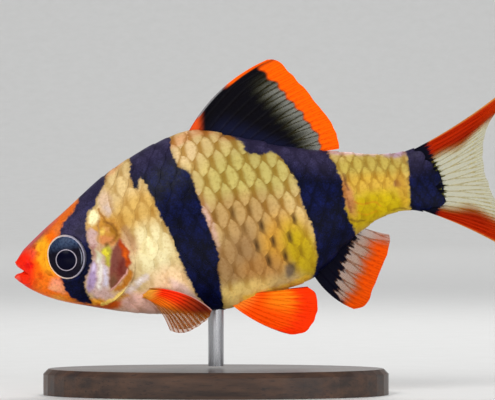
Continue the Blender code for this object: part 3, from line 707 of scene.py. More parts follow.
def scale_places():
    """Places (s, angle) of the scales of the left flank, row by row, each row shifted by half a scale."""
    places = []
    turn = np.linspace(0, math.pi, 241)
    for row in range(-SCALE_ROWS, SCALE_ROWS + 1):
        s = FIRST_SCALE_S + (float(spacing(11.0)) / 2 if row % 2 else 0.0)
        while s < TAIL_S - 1.0:
            ring = skin(np.full(len(turn), s), turn)
            arc = np.concatenate([[0], np.cumsum(np.linalg.norm(np.diff(ring, axis=0), axis=1))])
            tall = float(pitch(s))
            at = np.interp(angle_at(s, lateral(s)), turn, arc) + row * tall
            if 0.3 * tall < at < arc[-1] - 0.3 * tall:
                angle = float(np.interp(at, arc, turn))
                h = float(skin(s, angle)[2])
                if gill_seam(h) + 0.25 < s < fin_seam(h) - 0.4:
                    places.append((s, angle))
            s += float(spacing(s))
    return places


def midline_places():
    """Places of the single rows along the back, before and behind the dorsal fin, and under the belly."""
    places = []
    for angle, first, last in MIDLINE_ROWS:
        s = first
        while s < last:
            places.append((s, angle))
            s += float(spacing(s))
    return places


def scale_darkness(s, h):
    """How dark the front of a scale is, from 0 for golden brown to 1, by the nearest dark mark."""
    dark = np.zeros(s.shape)
    for spots, strength in ((DARK_SPOTS, 1.0), (FAINT_SPOTS, 0.5)):
        for s0, h0 in spots:
            dark = np.maximum(dark, strength * smooth(1.15, 0.6, np.hypot(s - s0, h - h0)))
    return dark


def scale_grid(long, tall, one_each):
    """Places on the scales, in mm: a backwards, b across and t from front to rear. The rears are rounded."""
    j = np.linspace(-1, 1, SCALE_GRID[0])[None, :, None]
    t = np.linspace(0, 1, SCALE_GRID[1])[None, None, :]
    grow = 1 + random.uniform(-SCATTER, SCATTER, one_each)
    b = j * tall * 0.98 * grow
    edge = np.abs(j)
    bend = long / tall**2
    rear = long / 2 * grow - bend * b**2 - 0.4 * long * smooth(0.8, 1.0, edge)
    rear = rear + 0.03 * np.sin(9 * j + random.uniform(0, 6, one_each))
    front = -long * (1.0 - 0.25 * edge**2)
    a = front + (rear - front) * t
    spin = random.uniform(-SCATTER, SCATTER, one_each) + 0.04
    return a * np.cos(spin) - b * np.sin(spin), a * np.sin(spin) + b * np.cos(spin), t


def scale_shapes(places, side):
    """The scales of one flank: upper and lower faces, values for the material, centres and unwrap places."""
    s0, angle0 = (np.array(column)[:, None, None] for column in zip(*places))
    one_each = (len(places), 1, 1)
    long, tall = spacing(s0), pitch(s0)
    a, b, t = scale_grid(long, tall, one_each)
    small = 1e-3
    reach = np.linalg.norm(skin(s0, angle0 + small) - skin(s0, angle0 - small), axis=-1) / (2 * small)
    s = s0 + a + random.uniform(-SCATTER, SCATTER, one_each)
    angle = angle0 + b / reach + random.uniform(-SCATTER, SCATTER, one_each) / reach
    lift = SCALE_LIFT + SCALE_SLOPE * (a + long) * LONGEST_SCALE / long
    lift = lift + random.uniform(-0.008, 0.008, one_each)
    lift = lift + 0.03 * (1 - (b / tall) ** 2) * np.sin(np.pi * t)
    lift = lift - 0.45 * (lift - SCALE_LIFT) * (np.abs(np.sin(angle0)) < 0.1)
    points, normals = skin(s, angle), outward(s, angle)
    mirror = np.array([1, -side, 1])
    lozenge = (np.abs(a - 0.02 * long) / (0.4 * long)) ** 1.2 + (np.abs(b) / (0.95 * tall)) ** 1.2
    centre = skin(s0, angle0)
    fronts = centre[..., ::2] - np.concatenate([0.36 * long, 0 * long], axis=-1)[:, :, None, :]
    unwrap = np.concatenate([s0 / BODY_LENGTH, (0.5 + side * angle0 / (2 * math.pi)) % 1.0], axis=1)
    return {
        "top": (points + normals * lift[..., None]) * mirror,
        "bottom": (points + normals * (lift - SCALE_THICKNESS)[..., None]) * mirror,
        "pale": smooth(1.4, 0.4, lozenge),
        "spot": np.exp(-(((a + 0.36 * long) / (0.17 * long)) ** 2) - (b / (0.42 * tall)) ** 2),
        "dark": np.broadcast_to(scale_darkness(fronts[..., 0], fronts[..., 1]), a.shape),
        "seed": np.broadcast_to(random.uniform(0, 1, one_each), a.shape),
        "centre": centre.reshape(-1, 3),
        "unwrap": unwrap[..., 0],
        "mirrored": np.full(len(places), side > 0),
    }


def sheet_faces(columns, rows):
    """Quads of a thin closed sheet: a front grid, a rear grid behind it and the rim between."""
    i, j = np.meshgrid(np.arange(columns - 1), np.arange(rows - 1), indexing="ij")
    near, far = i * rows + j, (i + 1) * rows + j
    front = np.stack([near, far, far + 1, near + 1], axis=-1).reshape(-1, 4)
    behind = columns * rows
    rim = [k * rows for k in range(columns)] + [(columns - 1) * rows + k for k in range(1, rows)]
    rim += [k * rows + rows - 1 for k in range(columns - 2, -1, -1)] + list(range(rows - 2, 0, -1))
    rim = np.array(rim)
    after = np.roll(rim, -1)
    band = np.stack([after, rim, behind + rim, behind + after], axis=-1)
    return np.concatenate([front, front[:, ::-1] + behind, band])


def coat_pieces(paint):
    """The scales of both flanks, as thin overlapping plates in a few joined pieces."""
    faces = sheet_faces(*SCALE_GRID)
    left = scale_shapes(scale_places() + midline_places(), -1)
    right = scale_shapes(scale_places(), 1)
    coat = {label: np.concatenate([left[label], right[label]]) for label in left}
    own_bar = bar_depth(coat["centre"][:, 0], coat["centre"][:, 2])
    for piece, chosen in enumerate(np.array_split(np.arange(len(own_bar)), COAT_PIECES)):
        count = len(chosen)
        both = [coat[face][chosen].reshape(count, -1, 3) for face in ("top", "bottom")]
        solid = np.concatenate(both, axis=1)
        values = marked(solid)
        values["bar"] = values["bar"] * 0.88 + own_bar[chosen][:, None] * 0.12
        for label in ("pale", "spot", "dark", "seed"):
            flat = coat[label][chosen].reshape(count, -1)
            values[label] = np.concatenate([flat, flat], axis=1)
        quads = faces[None] + (np.arange(count) * solid.shape[1])[:, None, None]
        quads = np.where(coat["mirrored"][chosen][:, None, None], quads[:, :, ::-1], quads)
        obj = mesh_object(f"barb_scales_{piece + 1}", to_world(solid), quads.reshape(-1, 4), values)
        add_bake_map(obj, quads, coat["unwrap"][chosen])
        dress(obj, paint)


def add_bake_map(obj, quads, unwrap):
    """Each scale's own small patch, at its root's place on the unwrapped skin."""
    across, along = np.meshgrid(*(np.linspace(-1, 1, count) for count in SCALE_GRID), indexing="ij")
    own = np.stack([along.ravel(), across.ravel()], axis=-1) * BAKE_PATCH / 2
    uv = unwrap[:, None, :] + np.concatenate([own, own])[None]
    layer = obj.data.uv_layers.new(name="OFBake")
    layer.data.foreach_set("uv", uv.reshape(-1, 2)[quads.reshape(-1)].astype(np.float32).ravel())


# Fins

ROOT_POINTS = 8
RAY_COLUMNS = 14
LEADING_COLUMNS = 8
FILM_HALF = 0.045
FIN_RIPPLE = 0.08
OUTSIDE_BARS = -1.0

# Margins of the fins from the leading tip to the rear, then how far first and last ray bow out
DORSAL_MARGIN = (
    (33.5, 17.75), (34.6, 17.5), (35.5, 16.3), (36.9, 13.9), (38.3, 11.2), (39.2, 9.2), (39.65, 7.3),
    (39.6, 5.95),
)
DORSAL_BOWS = ((-0.58, 0, 0.98), (0, 0, -0.14))
ANAL_MARGIN = (
    (37.4, -12.6), (38.6, -12.5), (39.7, -11.3), (40.9, -9.4), (42.0, -7.8), (42.9, -6.3), (43.2, -5.0),
)
ANAL_BOWS = ((-0.42, 0, -0.36), (0, 0, -0.1))
UPPER_TAIL_MARGIN = (
    (61.8, 9.75), (61.7, 9.1), (60.6, 8.05), (59.3, 7.1), (57.5, 5.6), (56.4, 4.0), (55.8, 2.2), (55.5, -0.2),
)
UPPER_TAIL_BOWS = ((0.32, 0, -0.38), (0, 0, 0))
LOWER_TAIL_MARGIN = (
    (59.1, -12.3), (59.2, -11.6), (58.5, -9.9), (57.6, -7.9), (56.6, -5.3), (55.9, -2.9), (55.5, -0.2),
)
LOWER_TAIL_BOWS = ((0.45, 0, 0.42), (0, 0, 0))
PECTORAL_ROOT = ((12.5, -5.2), (12.75, -5.65), (12.95, -6.1))
PECTORAL_MARGIN = (
    (21.4, -5.3, -9.1), (20.9, -5.4, -9.8), (19.8, -5.4, -10.45), (18.4, -5.3, -10.9), (17.2, -5.2, -10.9),
    (16.2, -5.0, -10.4),
)
PECTORAL_BOWS = ((0.8, -0.4, 0.86), (0.53, -0.4, 0.7))
PELVIC_ROOT = ((23.3, -9.25), (24.4, -9.05), (25.6, -8.7))
PELVIC_MARGIN = (
    (29.6, -2.9, -13.8), (31.3, -3.0, -13.8), (32.6, -2.9, -12.7), (33.3, -2.75, -11.3), (33.4, -2.6, -10.0),
    (32.7, -2.45, -8.95),
)
PELVIC_BOWS = ((-0.28, 0, -0.42), (0, -0.3, 0))


def blade(roots, tips, bows, lean):
    """A fin's middle surface, as a function of the place along the root, the way out and an extra reach."""
    root_line, margin = curve(roots), curve(tips)
    first, last = np.array(bows[0], float), np.array(bows[1], float)

    def surface(u, v, reach):
        root, tip = root_line(u), margin(u)
        tip = tip + reach[:, None] * (tip - root) / np.linalg.norm(tip - root, axis=1, keepdims=True)
        control = (root + tip) / 2 + 2 * (first + (last - first) * u[:, None])
        t = v[None, :, None]
        points = (1 - t) ** 2 * root[:, None] + 2 * t * (1 - t) * control[:, None] + t**2 * tip[:, None]
        points[:, :, 1] += lean * v[None, :] ** 2
        return points

    return surface


def ray_ridges(u, v, rays, spread):
    """1 on the crest of a ray and 0 between. Each ray forks in two and then in four on its way out."""
    gap = 1 / (rays - 1)
    ray = np.clip(np.round(u / gap), 0, rays - 1) * gap
    off = (u - ray)[:, None] / gap
    first, second = smooth(0.3, 0.75, v)[None, :], smooth(0.62, 1.0, v)[None, :]
    ridge = np.zeros((len(u), len(v)))
    for fork in (-1, 1):
        for twig in (-1, 1):
            place = spread * (fork * 0.24 * first + twig * 0.115 * second)
            width = 0.13 - 0.05 * first - 0.025 * second
            ridge = np.maximum(ridge, np.exp(-(((off - place) / width) ** 2)))
    ridge[off[:, 0] < -0.5 + 1e-6] = 0
    return ridge


def fin_thickness(ridge, v, root_half):
    """Half a fin's thickness: film and rays, stout at the leading ray and the root and thin at the margin."""
    half = FILM_HALF + (0.13 - 0.09 * v)[None, :] * ridge
    half[:LEADING_COLUMNS] = np.maximum(half[:LEADING_COLUMNS], (0.2 - 0.12 * v)[None, :])
    half = half + (root_half - half) * smooth(0.22, 0.0, v)[None, :]
    return half * (1 - 0.65 * smooth(0.9, 1.0, v)[None, :])


def fin_piece(
    node, roots, tips, bows, rays, look, paint,
    lean=0.0, side=1, rows=64, root_half=0.3, spread=1.0, contrast=0.7,
):
    """One fin as a thin closed sheet with a ray on both faces at each ridge. Side -1 mirrors it."""
    columns = (rays - 1) * RAY_COLUMNS + 1
    u, v = np.linspace(0, 1, columns), np.linspace(0, 1, rows)
    ridge = ray_ridges(u, v, rays, spread)
    uneven = spline(list(zip(np.linspace(0, 1, 2 * rays), random.uniform(-0.06, 0.06, 2 * rays))))(u)
    middle = blade(roots, tips, bows, lean)(u, v, uneven)
    wave = np.sin(2 * math.pi * (u * rays / 4.3 + 0.2))[:, None] * (v**1.5)[None, :]
    middle[..., 1] += FIN_RIPPLE * wave
    length = np.linalg.norm(middle[:, -1] - middle[:, 0], axis=1)
    swell = grid_normals(middle) * fin_thickness(ridge, v, root_half)[..., None]
    across, out = np.meshgrid(u, v, indexing="ij")
    values = look(across, out, length[:, None] * (1 - v)[None, :], middle)
    values["ridge"] = contrast * ridge
    for label, value in values.items():
        values[label] = np.concatenate([value] * 2).reshape(-1, *value.shape[2:])
    faces = sheet_faces(columns, rows)
    points = np.concatenate([(middle + swell).reshape(-1, 3), (middle - swell).reshape(-1, 3)])
    points = to_world(points * np.array([1, side, 1]))
    obj = mesh_object("barb_" + node, points, faces[:, ::-1] if side < 0 else faces, values, (), 60)
    return dress(obj, paint, (node,))


def toned(first, *steps):
    """Colours mixed in order: a first colour, then (colour, share) pairs over it."""
    colour = np.ones(steps[0][1].shape + (3,)) * linear(*first)
    for shade, share in steps:
        colour = blend(colour, shade, share)
    return colour


def streaks(u):
    """Uneven reach of the black along a fin, in millimetres."""
    return 0.22 * np.sin(57 * u) + 0.16 * np.sin(131 * u + 1)


# How each fin looks, by the place along its root, the way out, the mm left to the margin and the points


def dorsal_look(u, v, rim, points):
    """Black, navy low down and clear towards the rear, with a red band along the margin."""
    wobble = 0.14 * np.sin(u * 55) + 0.12 * np.sin(u * 23 + 1)
    band = smooth(2.3, 1.85, rim + wobble) * smooth(0.0, 0.12, v)
    front = smooth(0.05, 0.025, u) * smooth(0.5, 0.62, v)
    tip = smooth(0.1, 0.0, u) * smooth(1.8, 0.8, rim)
    red = np.clip(np.maximum(np.maximum(band * smooth(0.02, 0.1, u), front), tip), 0, 1)
    foot = smooth(1.2, 0.6, u / 0.15 + v / 0.26)
    silver = smooth(0.022, 0.01, u) * smooth(0.16, 0.22, v) * smooth(0.6, 0.5, v)
    clear = smooth(5.4, 2.3, rim + 0.25 * np.sin(u * 75)) * smooth(0.08, 0.35, u) * (1 - red)
    navy = 0.8 * smooth(0.34, 0.1, v) * smooth(0.1, 0.3, u)
    tint = toned(
        (8, 6, 12), ((18, 19, 44), navy), ((74, 70, 30), clear * 0.6), ((250, 88, 0), red),
        ((214, 72, 24), foot), ((130, 126, 130), silver),
    )
    return {"tint": tint, "veil": 1.08 - 0.56 * clear, "bar": np.full(u.shape, OUTSIDE_BARS)}


def anal_look(u, v, rim, points):
    """Clear brown with a red margin, and the dorsal bar's foot at its root."""
    back_edge = smooth(0.98, 0.8, u)
    red = smooth(3.1, 0.9, rim + 0.2 * np.sin(u * 29) + 0.12 * np.sin(u * 71))
    red = red * smooth(0.0, 0.15, v) * (0.25 + 0.75 * back_edge)
    tint = toned((146, 84, 22), ((228, 72, 0), red))
    veil = 0.32 + 0.16 * back_edge + 0.6 * red
    return {"tint": tint, "veil": veil, "bar": bar_depth(points[..., 0], points[..., 2]) + streaks(u)}


def tail_look(u, v, rim, points):
    """One lobe: red along its outer half, clear towards the fork, and black over its root."""
    red = smooth(0.64, 0.34, u + 0.05 * np.sin(v * 9))
    deep = smooth(0.12, 0.5, u) * red
    tip = smooth(0.5, 0.95, v) * red
    edge = smooth(0.03, 0.01, u)
    tint = toned(
        (176, 160, 40), ((168, 32, 0), red), ((120, 18, 0), deep * 0.7), ((196, 56, 4), tip * 0.5),
        ((214, 150, 70), 0.5 * edge),
    )
    sheath = fin_seam(points[..., 2]) + 0.15 - points[..., 0]
    bar = np.maximum(bar_depth(points[..., 0], points[..., 2]), sheath) + streaks(u) - 0.15
    return {"tint": tint, "veil": 0.24 + 0.84 * red, "bar": bar}


def pectoral_look(u, v, rim, points):
    """Red in front, brown outwards and clear low down; a gold root, a painted shadow by the leading ray, a
    pale edge and painted glint.
    """
    base = smooth(0.36, 0.2, v)
    lower = smooth(0.98, 1.2, 0.75 * u + v)
    rear = smooth(0.5, 0.75, v)
    deep = smooth(0.7, 0.9, v) * smooth(0.5, 0.25, u)
    # Painted shadow: dark brown along the leading ray at the root
    line = smooth(0.14, 0.06, u) * base
    # Pale pink leading edge, partly a painted glint towards the tip
    pale_edge_and_glint = smooth(0.03, 0.01, u) * smooth(0.3, 0.5, v)
    tint = toned(
        (242, 46, 6), ((226, 104, 14), smooth(0.25, 0.6, u)), ((136, 40, 8), rear * 0.9), ((92, 22, 8), deep),
        ((176, 104, 24), lower * 0.8), ((244, 176, 66), base), ((132, 62, 12), line * 0.8),
        ((226, 176, 164), 0.75 * pale_edge_and_glint),
    )
    veil = 1.08 - 0.66 * lower - 0.45 * smooth(0.34, 0.14, v) * smooth(0.5, 1.0, u)
    return {"tint": tint, "veil": veil, "bar": np.full(u.shape, OUTSIDE_BARS)}


def pelvic_look(u, v, rim, points):
    """Orange red, lighter at the root, with a painted highlight in the middle and deep red at the margin."""
    base = smooth(0.3, 0.05, v)
    # Painted highlight: yellowish orange in the upper middle of the fin
    bright = smooth(0.35, 0.7, u) * smooth(0.2, 0.5, v) * smooth(0.8, 0.6, v + 0.05 * np.sin(60 * u))
    deep = smooth(0.68, 0.86, v + 0.03 * np.sin(43 * u))
    tint = toned(
        (246, 72, 0), ((248, 140, 44), base * 0.8), ((254, 136, 18), bright * 0.7),
        ((250, 42, 0), deep * 0.85),
    )
    return {"tint": tint, "veil": np.full(u.shape, 1.08), "bar": np.full(u.shape, OUTSIDE_BARS)}


def on_midline(points):
    """Points (s, h) on the fish's middle plane."""
    return [(s, 0.0, h) for s, h in points]


def sunk_root(line, start, end, inwards):
    """A fin's root just inside the back or the belly."""
    stations = np.linspace(start, end, ROOT_POINTS)
    return [(float(s), 0.0, float(line(s)) + inwards * ROOT_SINK) for s in stations]


def seam_root(start, end):
    """A tail lobe's root just inside the end of the body."""
    heights = np.linspace(start, end, ROOT_POINTS)
    return [(float(fin_seam(h)) - 1.1, 0.0, float(h)) for h in heights]


def flank_root(places):
    """A paired fin's root just inside the left flank."""
    return [skin(s, angle_at(s, h)) - ROOT_SINK * outward(s, angle_at(s, h)) for s, h in places]


def fins(paint):
    """Every fin, in the order in which the seeded random numbers are drawn."""
    root, margin = sunk_root(back, 22.5, 34.6, -1), on_midline(DORSAL_MARGIN)
    fin_piece(
        "dorsal_fin", root, margin, DORSAL_BOWS, 12, dorsal_look, paint,
        lean=0.25, rows=90,
    )
    root, margin = sunk_root(belly, 33.5, 40.0, 1), on_midline(ANAL_MARGIN)
    fin_piece("anal_fin", root, margin, ANAL_BOWS, 9, anal_look, paint, lean=0.2)
    root, margin = [(47.9, 0, 4.05)] + seam_root(3.4, -0.2), on_midline(UPPER_TAIL_MARGIN)
    fin_piece("tail_fin_upper", root, margin, UPPER_TAIL_BOWS, 11, tail_look, paint, lean=0.9, rows=80)
    root, margin = [(46.6, 0, -2.5)] + seam_root(-2.9, -0.2), on_midline(LOWER_TAIL_MARGIN)
    fin_piece("tail_fin_lower", root, margin, LOWER_TAIL_BOWS, 11, tail_look, paint, lean=0.9, rows=80)
    for label, side in (("left", 1), ("right", -1)):
        fin_piece(
            "pectoral_fin_" + label, flank_root(PECTORAL_ROOT), PECTORAL_MARGIN, PECTORAL_BOWS, 12,
            pectoral_look, paint, side=side, root_half=0.22, spread=0.35, contrast=1.1,
        )
        fin_piece(
            "pelvic_fin_" + label, flank_root(PELVIC_ROOT), PELVIC_MARGIN, PELVIC_BOWS, 9,
            pelvic_look, paint, side=side, root_half=0.25, contrast=0.5,
        )


# Eyes


def eye_points(ring, turn, out, side):
    """Points of one eye from shares of its radii: ring from the axis, turn round it, out along it in mm."""
    a, b = EYE_RADII[0] * ring * np.cos(turn), EYE_RADII[1] * ring * np.sin(turn)
    cos, sin = math.cos(EYE_TURN), math.sin(EYE_TURN)
    s = EYE_CENTRE[0] + a * cos - out * sin
    y = EYE_CENTRE[1] + out * cos + a * sin
    return np.stack([s, side * y, EYE_CENTRE[2] + b], axis=-1)


def ball_height(ring, pupil):
    """The domed iris and its rim, with the lens over the pupil. The last ring closes the ball inside."""
    lens = 0.2 * np.sqrt(np.maximum(0, 1 - (pupil / (PUPIL_RADIUS + 0.02)) ** 2))
    pupil_rim = 0.05 * np.exp(-(((pupil - PUPIL_RADIUS - 0.07) / 0.07) ** 2))
    collar = pupil_rim + 0.05 * np.exp(-(((ring - 0.94) / 0.03) ** 2))
    out = 1.1 - 0.52 * ring**2 + lens + collar - 0.5 * smooth(0.96, 1.03, ring)
    out[-1] = -0.7
    return out


def eye_piece(label, side, paint):
    """One eye: rings of points, as shares of its radii, from the middle out and back inside the head."""
    rings = [*np.linspace(0.01, 0.96, 64), 0.985, 1.01, 1.03, 0.9]
    count, around = len(rings), EYE_AROUND
    ring, turn = np.meshgrid(rings, np.arange(around) * 2 * math.pi / around, indexing="ij")
    a = EYE_RADII[0] * ring * np.cos(turn) - PUPIL[0]
    b = EYE_RADII[1] * ring * np.sin(turn) - PUPIL[1]
    pupil = np.hypot(a, b)
    points = eye_points(ring, turn, ball_height(ring, pupil), side)
    quads = ring_quads(count, around)
    if side > 0:
        quads = quads[:, ::-1]
    values = {"pupil": pupil, "ring": ring, "height": b, "front": -a}
    ends = [tuple(range(around))[::-side], tuple(range((count - 1) * around, count * around))[::side]]
    obj = mesh_object("barb_eye_" + label, to_world(points), quads, values, ends, 0)
    dress(obj, paint, ("eye_" + label,))


def eyes(paint):
    """Both eyes."""
    for label, side in (("left", -1), ("right", 1)):
        eye_piece(label, side, paint)


# Materials

# Depth of the fine relief, in metres
BUMP_DISTANCE = 0.00005


class Paint:
    """A material and short ways to add nodes to it."""

    def __init__(self, name):
        self.material = bpy.data.materials.new(name)
        self.material.use_nodes = True
        self.tree = self.material.node_tree
        self.shader = self.tree.nodes["Principled BSDF"]
        place = self.add("ShaderNodeTexCoord")
        scaled = self.add("ShaderNodeVectorMath", operation="SCALE")
        self.tree.links.new(place.outputs["Object"], scaled.inputs[0])
        scaled.inputs["Scale"].default_value = 1000.0
        self.place = scaled.outputs[0]

    def add(self, kind, **settings):
        node = self.tree.nodes.new(kind)
        for label, value in settings.items():
            setattr(node, label, value)
        return node

    def put(self, socket, value):
        if isinstance(value, bpy.types.NodeSocket):
            self.tree.links.new(value, socket)
        elif isinstance(value, (tuple, list, np.ndarray)) and len(value) == 3 and socket.type == "RGBA":
            socket.default_value = (*[float(x) for x in value], 1.0)
        else:
            socket.default_value = value

    def attribute(self, name, colour=False):
        node = self.add("ShaderNodeAttribute", attribute_name=name)
        return node.outputs["Color" if colour else "Fac"]

    def noise(self, scale, detail=3.0, rough=0.55, stretch=None):
        node = self.add("ShaderNodeTexNoise")
        place = self.place
        if stretch:
            mapped = self.add("ShaderNodeMapping")
            self.put(mapped.inputs["Vector"], place)
            mapped.inputs["Scale"].default_value = stretch
            place = mapped.outputs[0]
        self.put(node.inputs["Vector"], place)
        self.put(node.inputs["Scale"], scale)
        self.put(node.inputs["Detail"], detail)
        self.put(node.inputs["Roughness"], rough)
        return node.outputs["Fac"]

    def map(self, value, low, high, to_low=0.0, to_high=1.0, eased=False):
        node = self.add("ShaderNodeMapRange", interpolation_type="SMOOTHSTEP" if eased else "LINEAR")
        given = {"Value": value, "From Min": low, "From Max": high, "To Min": to_low, "To Max": to_high}
        for label, setting in given.items():
            self.put(node.inputs[label], setting)
        return node.outputs["Result"]

    def math(self, operation, first, second=0.0):
        node = self.add("ShaderNodeMath", operation=operation)
        self.put(node.inputs[0], first)
        self.put(node.inputs[1], second)
        return node.outputs[0]

    def mix(self, share, first, second, blend="MIX"):
        node = self.add("ShaderNodeMix", data_type="RGBA", blend_type=blend)
        self.put(node.inputs["Factor"], share)
        self.put(node.inputs[6], first)
        self.put(node.inputs[7], second)
        return node.outputs[2]

    def plus(self, first, second):
        return self.math("ADD", first, second)

    def times(self, first, second):
        return self.math("MULTIPLY", first, second)

    def tinted(self, colour, factor):
        """A colour multiplied by another."""
        return self.mix(1.0, colour, factor, "MULTIPLY")

    def ranged(self, noise, low, high):
        """A noise's usual range as a range of values."""
        return self.map(noise, 0.3, 0.7, low, high)

    def bump(self, height, strength):
        """Relief on the shader's normal."""
        node = self.add("ShaderNodeBump")
        self.put(node.inputs["Height"], height)
        node.inputs["Strength"].default_value = strength
        node.inputs["Distance"].default_value = BUMP_DISTANCE
        self.put(self.shader.inputs["Normal"], node.outputs[0])

    def set(self, **sockets):
        for label, value in sockets.items():
            self.put(self.shader.inputs[label.replace("_", " ")], value)


def scale_marks(paint, colour, tint, fine):
    """The scales' golden net, uneven brightness, brown fronts partly of painted shade, and dark marks at some
    fronts.
    """
    calm, dark, spot_at = paint.attribute("calm"), paint.attribute("dark"), paint.attribute("spot")
    pale = paint.plus(paint.attribute("pale"), paint.ranged(fine, -0.12, 0.12))
    pale = paint.map(pale, 0.05, 0.95, eased=True)
    net = paint.tinted(colour, (0.66, 0.54, 0.32))
    bright = paint.tinted(colour, (1.1, 1.13, 1.16))
    dimmed = paint.tinted(bright, (0.8, 0.77, 0.8))
    bright = paint.mix(paint.map(paint.attribute("seed"), 0.0, 1.0, 0.0, 0.6), bright, dimmed)
    patch = paint.mix(paint.math("MAXIMUM", pale, calm), net, bright)
    # Brown at every scale's front: partly golden-brown marking, partly painted shade beside the rim of the
    # scale before it
    front_mark_and_shade = paint.times(spot_at, paint.map(calm, 0.0, 1.0, 0.9, 0.4))
    front_mark_and_shade = paint.math("MAXIMUM", front_mark_and_shade, paint.times(spot_at, dark))
    brown = paint.tinted(tint, (0.56, 0.4, 0.14))
    return paint.mix(front_mark_and_shade, patch, paint.mix(dark, brown, linear(70, 44, 18))), pale


def barred(paint, colour, tint, painted_sheen):
    """The black bars over a colour, with a brown edge, a painted navy sheen and a painted greyer sheen near
    the back.
    """
    edge = paint.plus(paint.attribute("bar"), paint.ranged(paint.noise(2.2, 2.5, 0.5), -0.13, 0.13))
    inside = paint.map(edge, -0.15, 0.15, eased=True)
    brown = paint.map(edge, -0.45, 0.0, 0.0, 0.3, eased=True)
    colour = paint.mix(brown, colour, paint.tinted(tint, (0.4, 0.3, 0.25)))
    # Painted sheen: lighter navy specks, and a lighter purple grey near the back
    navy = paint.mix(painted_sheen, linear(4, 5, 20), linear(16, 24, 76))
    grey = paint.mix(painted_sheen, linear(44, 38, 62), linear(76, 68, 98))
    bar_with_painted_sheen = paint.mix(paint.map(paint.attribute("dorsal"), 0.0, 1.0, 0.0, 0.8), navy, grey)
    return paint.mix(inside, colour, bar_with_painted_sheen)


def hide_paint(name, scaled):
    """Skin or scales: the fish's colours with painted glints, the scales' golden net and the black bars with
    painted sheen.
    """
    paint = Paint(name)
    fine, broad, speck = paint.noise(2.8, 4.0, 0.65), paint.noise(0.6, 3.0), paint.noise(5.5, 3.0, 0.6)
    tint = paint.attribute("tint", True)
    shade = (0.78, 0.66, 0.48) if scaled else (0.68, 0.54, 0.4)
    light = (1.2, 1.18, 1.12) if scaled else (1.3, 1.26, 1.2)
    colour = paint.mix(paint.map(fine, 0.52, 0.26, 0.0, 0.75), tint, paint.tinted(tint, shade))
    # Painted glints: the tint lightened by the light factors where the fine and broad noises are both high
    painted_glint = paint.map(paint.plus(fine, broad), 1.0, 1.4, 0.0, 0.7)
    colour = paint.mix(painted_glint, colour, paint.tinted(tint, light))
    # Painted sheen for the bars, stronger on the scales' pale centres
    painted_sheen = paint.map(paint.plus(speck, broad), 0.75, 1.45, eased=True)
    if scaled:
        colour, pale = scale_marks(paint, colour, tint, fine)
        painted_sheen = paint.times(painted_sheen, paint.map(pale, 0.0, 1.0, 0.35, 1.0))
    colour = barred(paint, colour, tint, painted_sheen)
    paint.set(Base_Color=colour, Roughness=paint.ranged(fine, 0.3, 0.46), Specular_IOR_Level=0.07)
    paint.bump(fine, 0.2)
    return paint.material


def fin_paint():
    """Fins: streaked along the rays, clear where the film is bare and black inside the bars."""
    paint = Paint("barb_fin_membrane")
    fine, ridge = paint.noise(3.0, 3.0), paint.attribute("ridge")
    tint = paint.attribute("tint", True)
    dark = paint.tinted(tint, (0.68, 0.52, 0.5))
    light = paint.mix(0.3, tint, paint.tinted(tint, (1.15, 1.5, 1.3)))
    streak = paint.map(paint.plus(ridge, paint.ranged(fine, -0.2, 0.2)), 0.25, 0.9)
    colour = paint.mix(streak, light, dark)
    edge = paint.plus(paint.attribute("bar"), paint.ranged(paint.noise(2.6, 4.0, 0.6), -0.2, 0.2))
    edge = paint.plus(edge, paint.map(ridge, 0.0, 1.0, -0.05, 0.2))
    inside = paint.map(edge, -0.5, 0.25, eased=True)
    colour = paint.mix(inside, colour, linear(8, 8, 22))
    veil = paint.plus(paint.attribute("veil"), paint.map(streak, 0.0, 1.0, -0.08, 0.36))
    alpha = paint.math("MAXIMUM", paint.math("MINIMUM", veil, 1.0), inside)
    paint.set(Base_Color=colour, Alpha=alpha, Specular_IOR_Level=0.03)
    paint.set(Roughness=paint.ranged(fine, 0.4, 0.55))
    paint.bump(fine, 0.2)
    return paint.material


def eye_paint():
    """Eyes: a dark pupil with a pale ring, a dark iris with a painted blue-grey highlight at its upper rear,
    and a pale rim.
    """
    ball = Paint("barb_iris")
    pupil, ring, height, front = (ball.attribute(label) for label in ("pupil", "ring", "height", "front"))
    fine = ball.noise(4.0, 3.0)
    # Painted highlight: the iris turns blue grey over its upper rear
    upper = ball.times(ball.map(height, 1.0, 1.9), ball.map(front, 1.6, -1.2, 0.55, 1.0))
    iris = ball.mix(ball.map(fine, 0.35, 0.7), linear(13, 10, 20), linear(24, 20, 36))
    sky = ball.mix(ball.map(fine, 0.35, 0.65), linear(34, 46, 76), linear(66, 84, 112))
    iris = ball.mix(upper, iris, sky)
    outside_pupil = ball.map(pupil, PUPIL_RADIUS - 0.02, PUPIL_RADIUS + 0.02)
    colour = ball.mix(outside_pupil, linear(1, 1, 24), linear(176, 166, 178))
    rim = ball.mix(ball.map(front, -1.0, 1.4), linear(178, 174, 190), linear(250, 220, 186))
    rim = ball.mix(ball.ranged(fine, 0.0, 0.5), rim, linear(126, 112, 124))
    arc = ball.times(ball.map(front, -1.5, -1.9), ball.map(height, 1.3, 0.4))
    arc = ball.times(arc, ball.map(ball.math("ABSOLUTE", ball.math("SUBTRACT", ring, 0.83)), 0.035, 0.01))
    iris = ball.mix(ball.times(arc, 0.6), iris, linear(186, 190, 208))
    colour = ball.mix(ball.map(pupil, PUPIL_RADIUS + 0.06, PUPIL_RADIUS + 0.12), colour, iris)
    reach = ball.plus(ring, ball.times(ball.map(front, 0.2, 1.9, 0.0, 0.05), ball.map(height, 2.0, 0.6)))
    reach = ball.plus(reach, ball.ranged(fine, -0.008, 0.008))
    colour = ball.mix(ball.map(reach, 0.905, 0.925), colour, rim)
    ball.set(Base_Color=colour, Roughness=ball.ranged(fine, 0.3, 0.45), Specular_IOR_Level=0.03)
    ball.set(Coat_Weight=0.07, Coat_Roughness=0.26)
    return ball.material


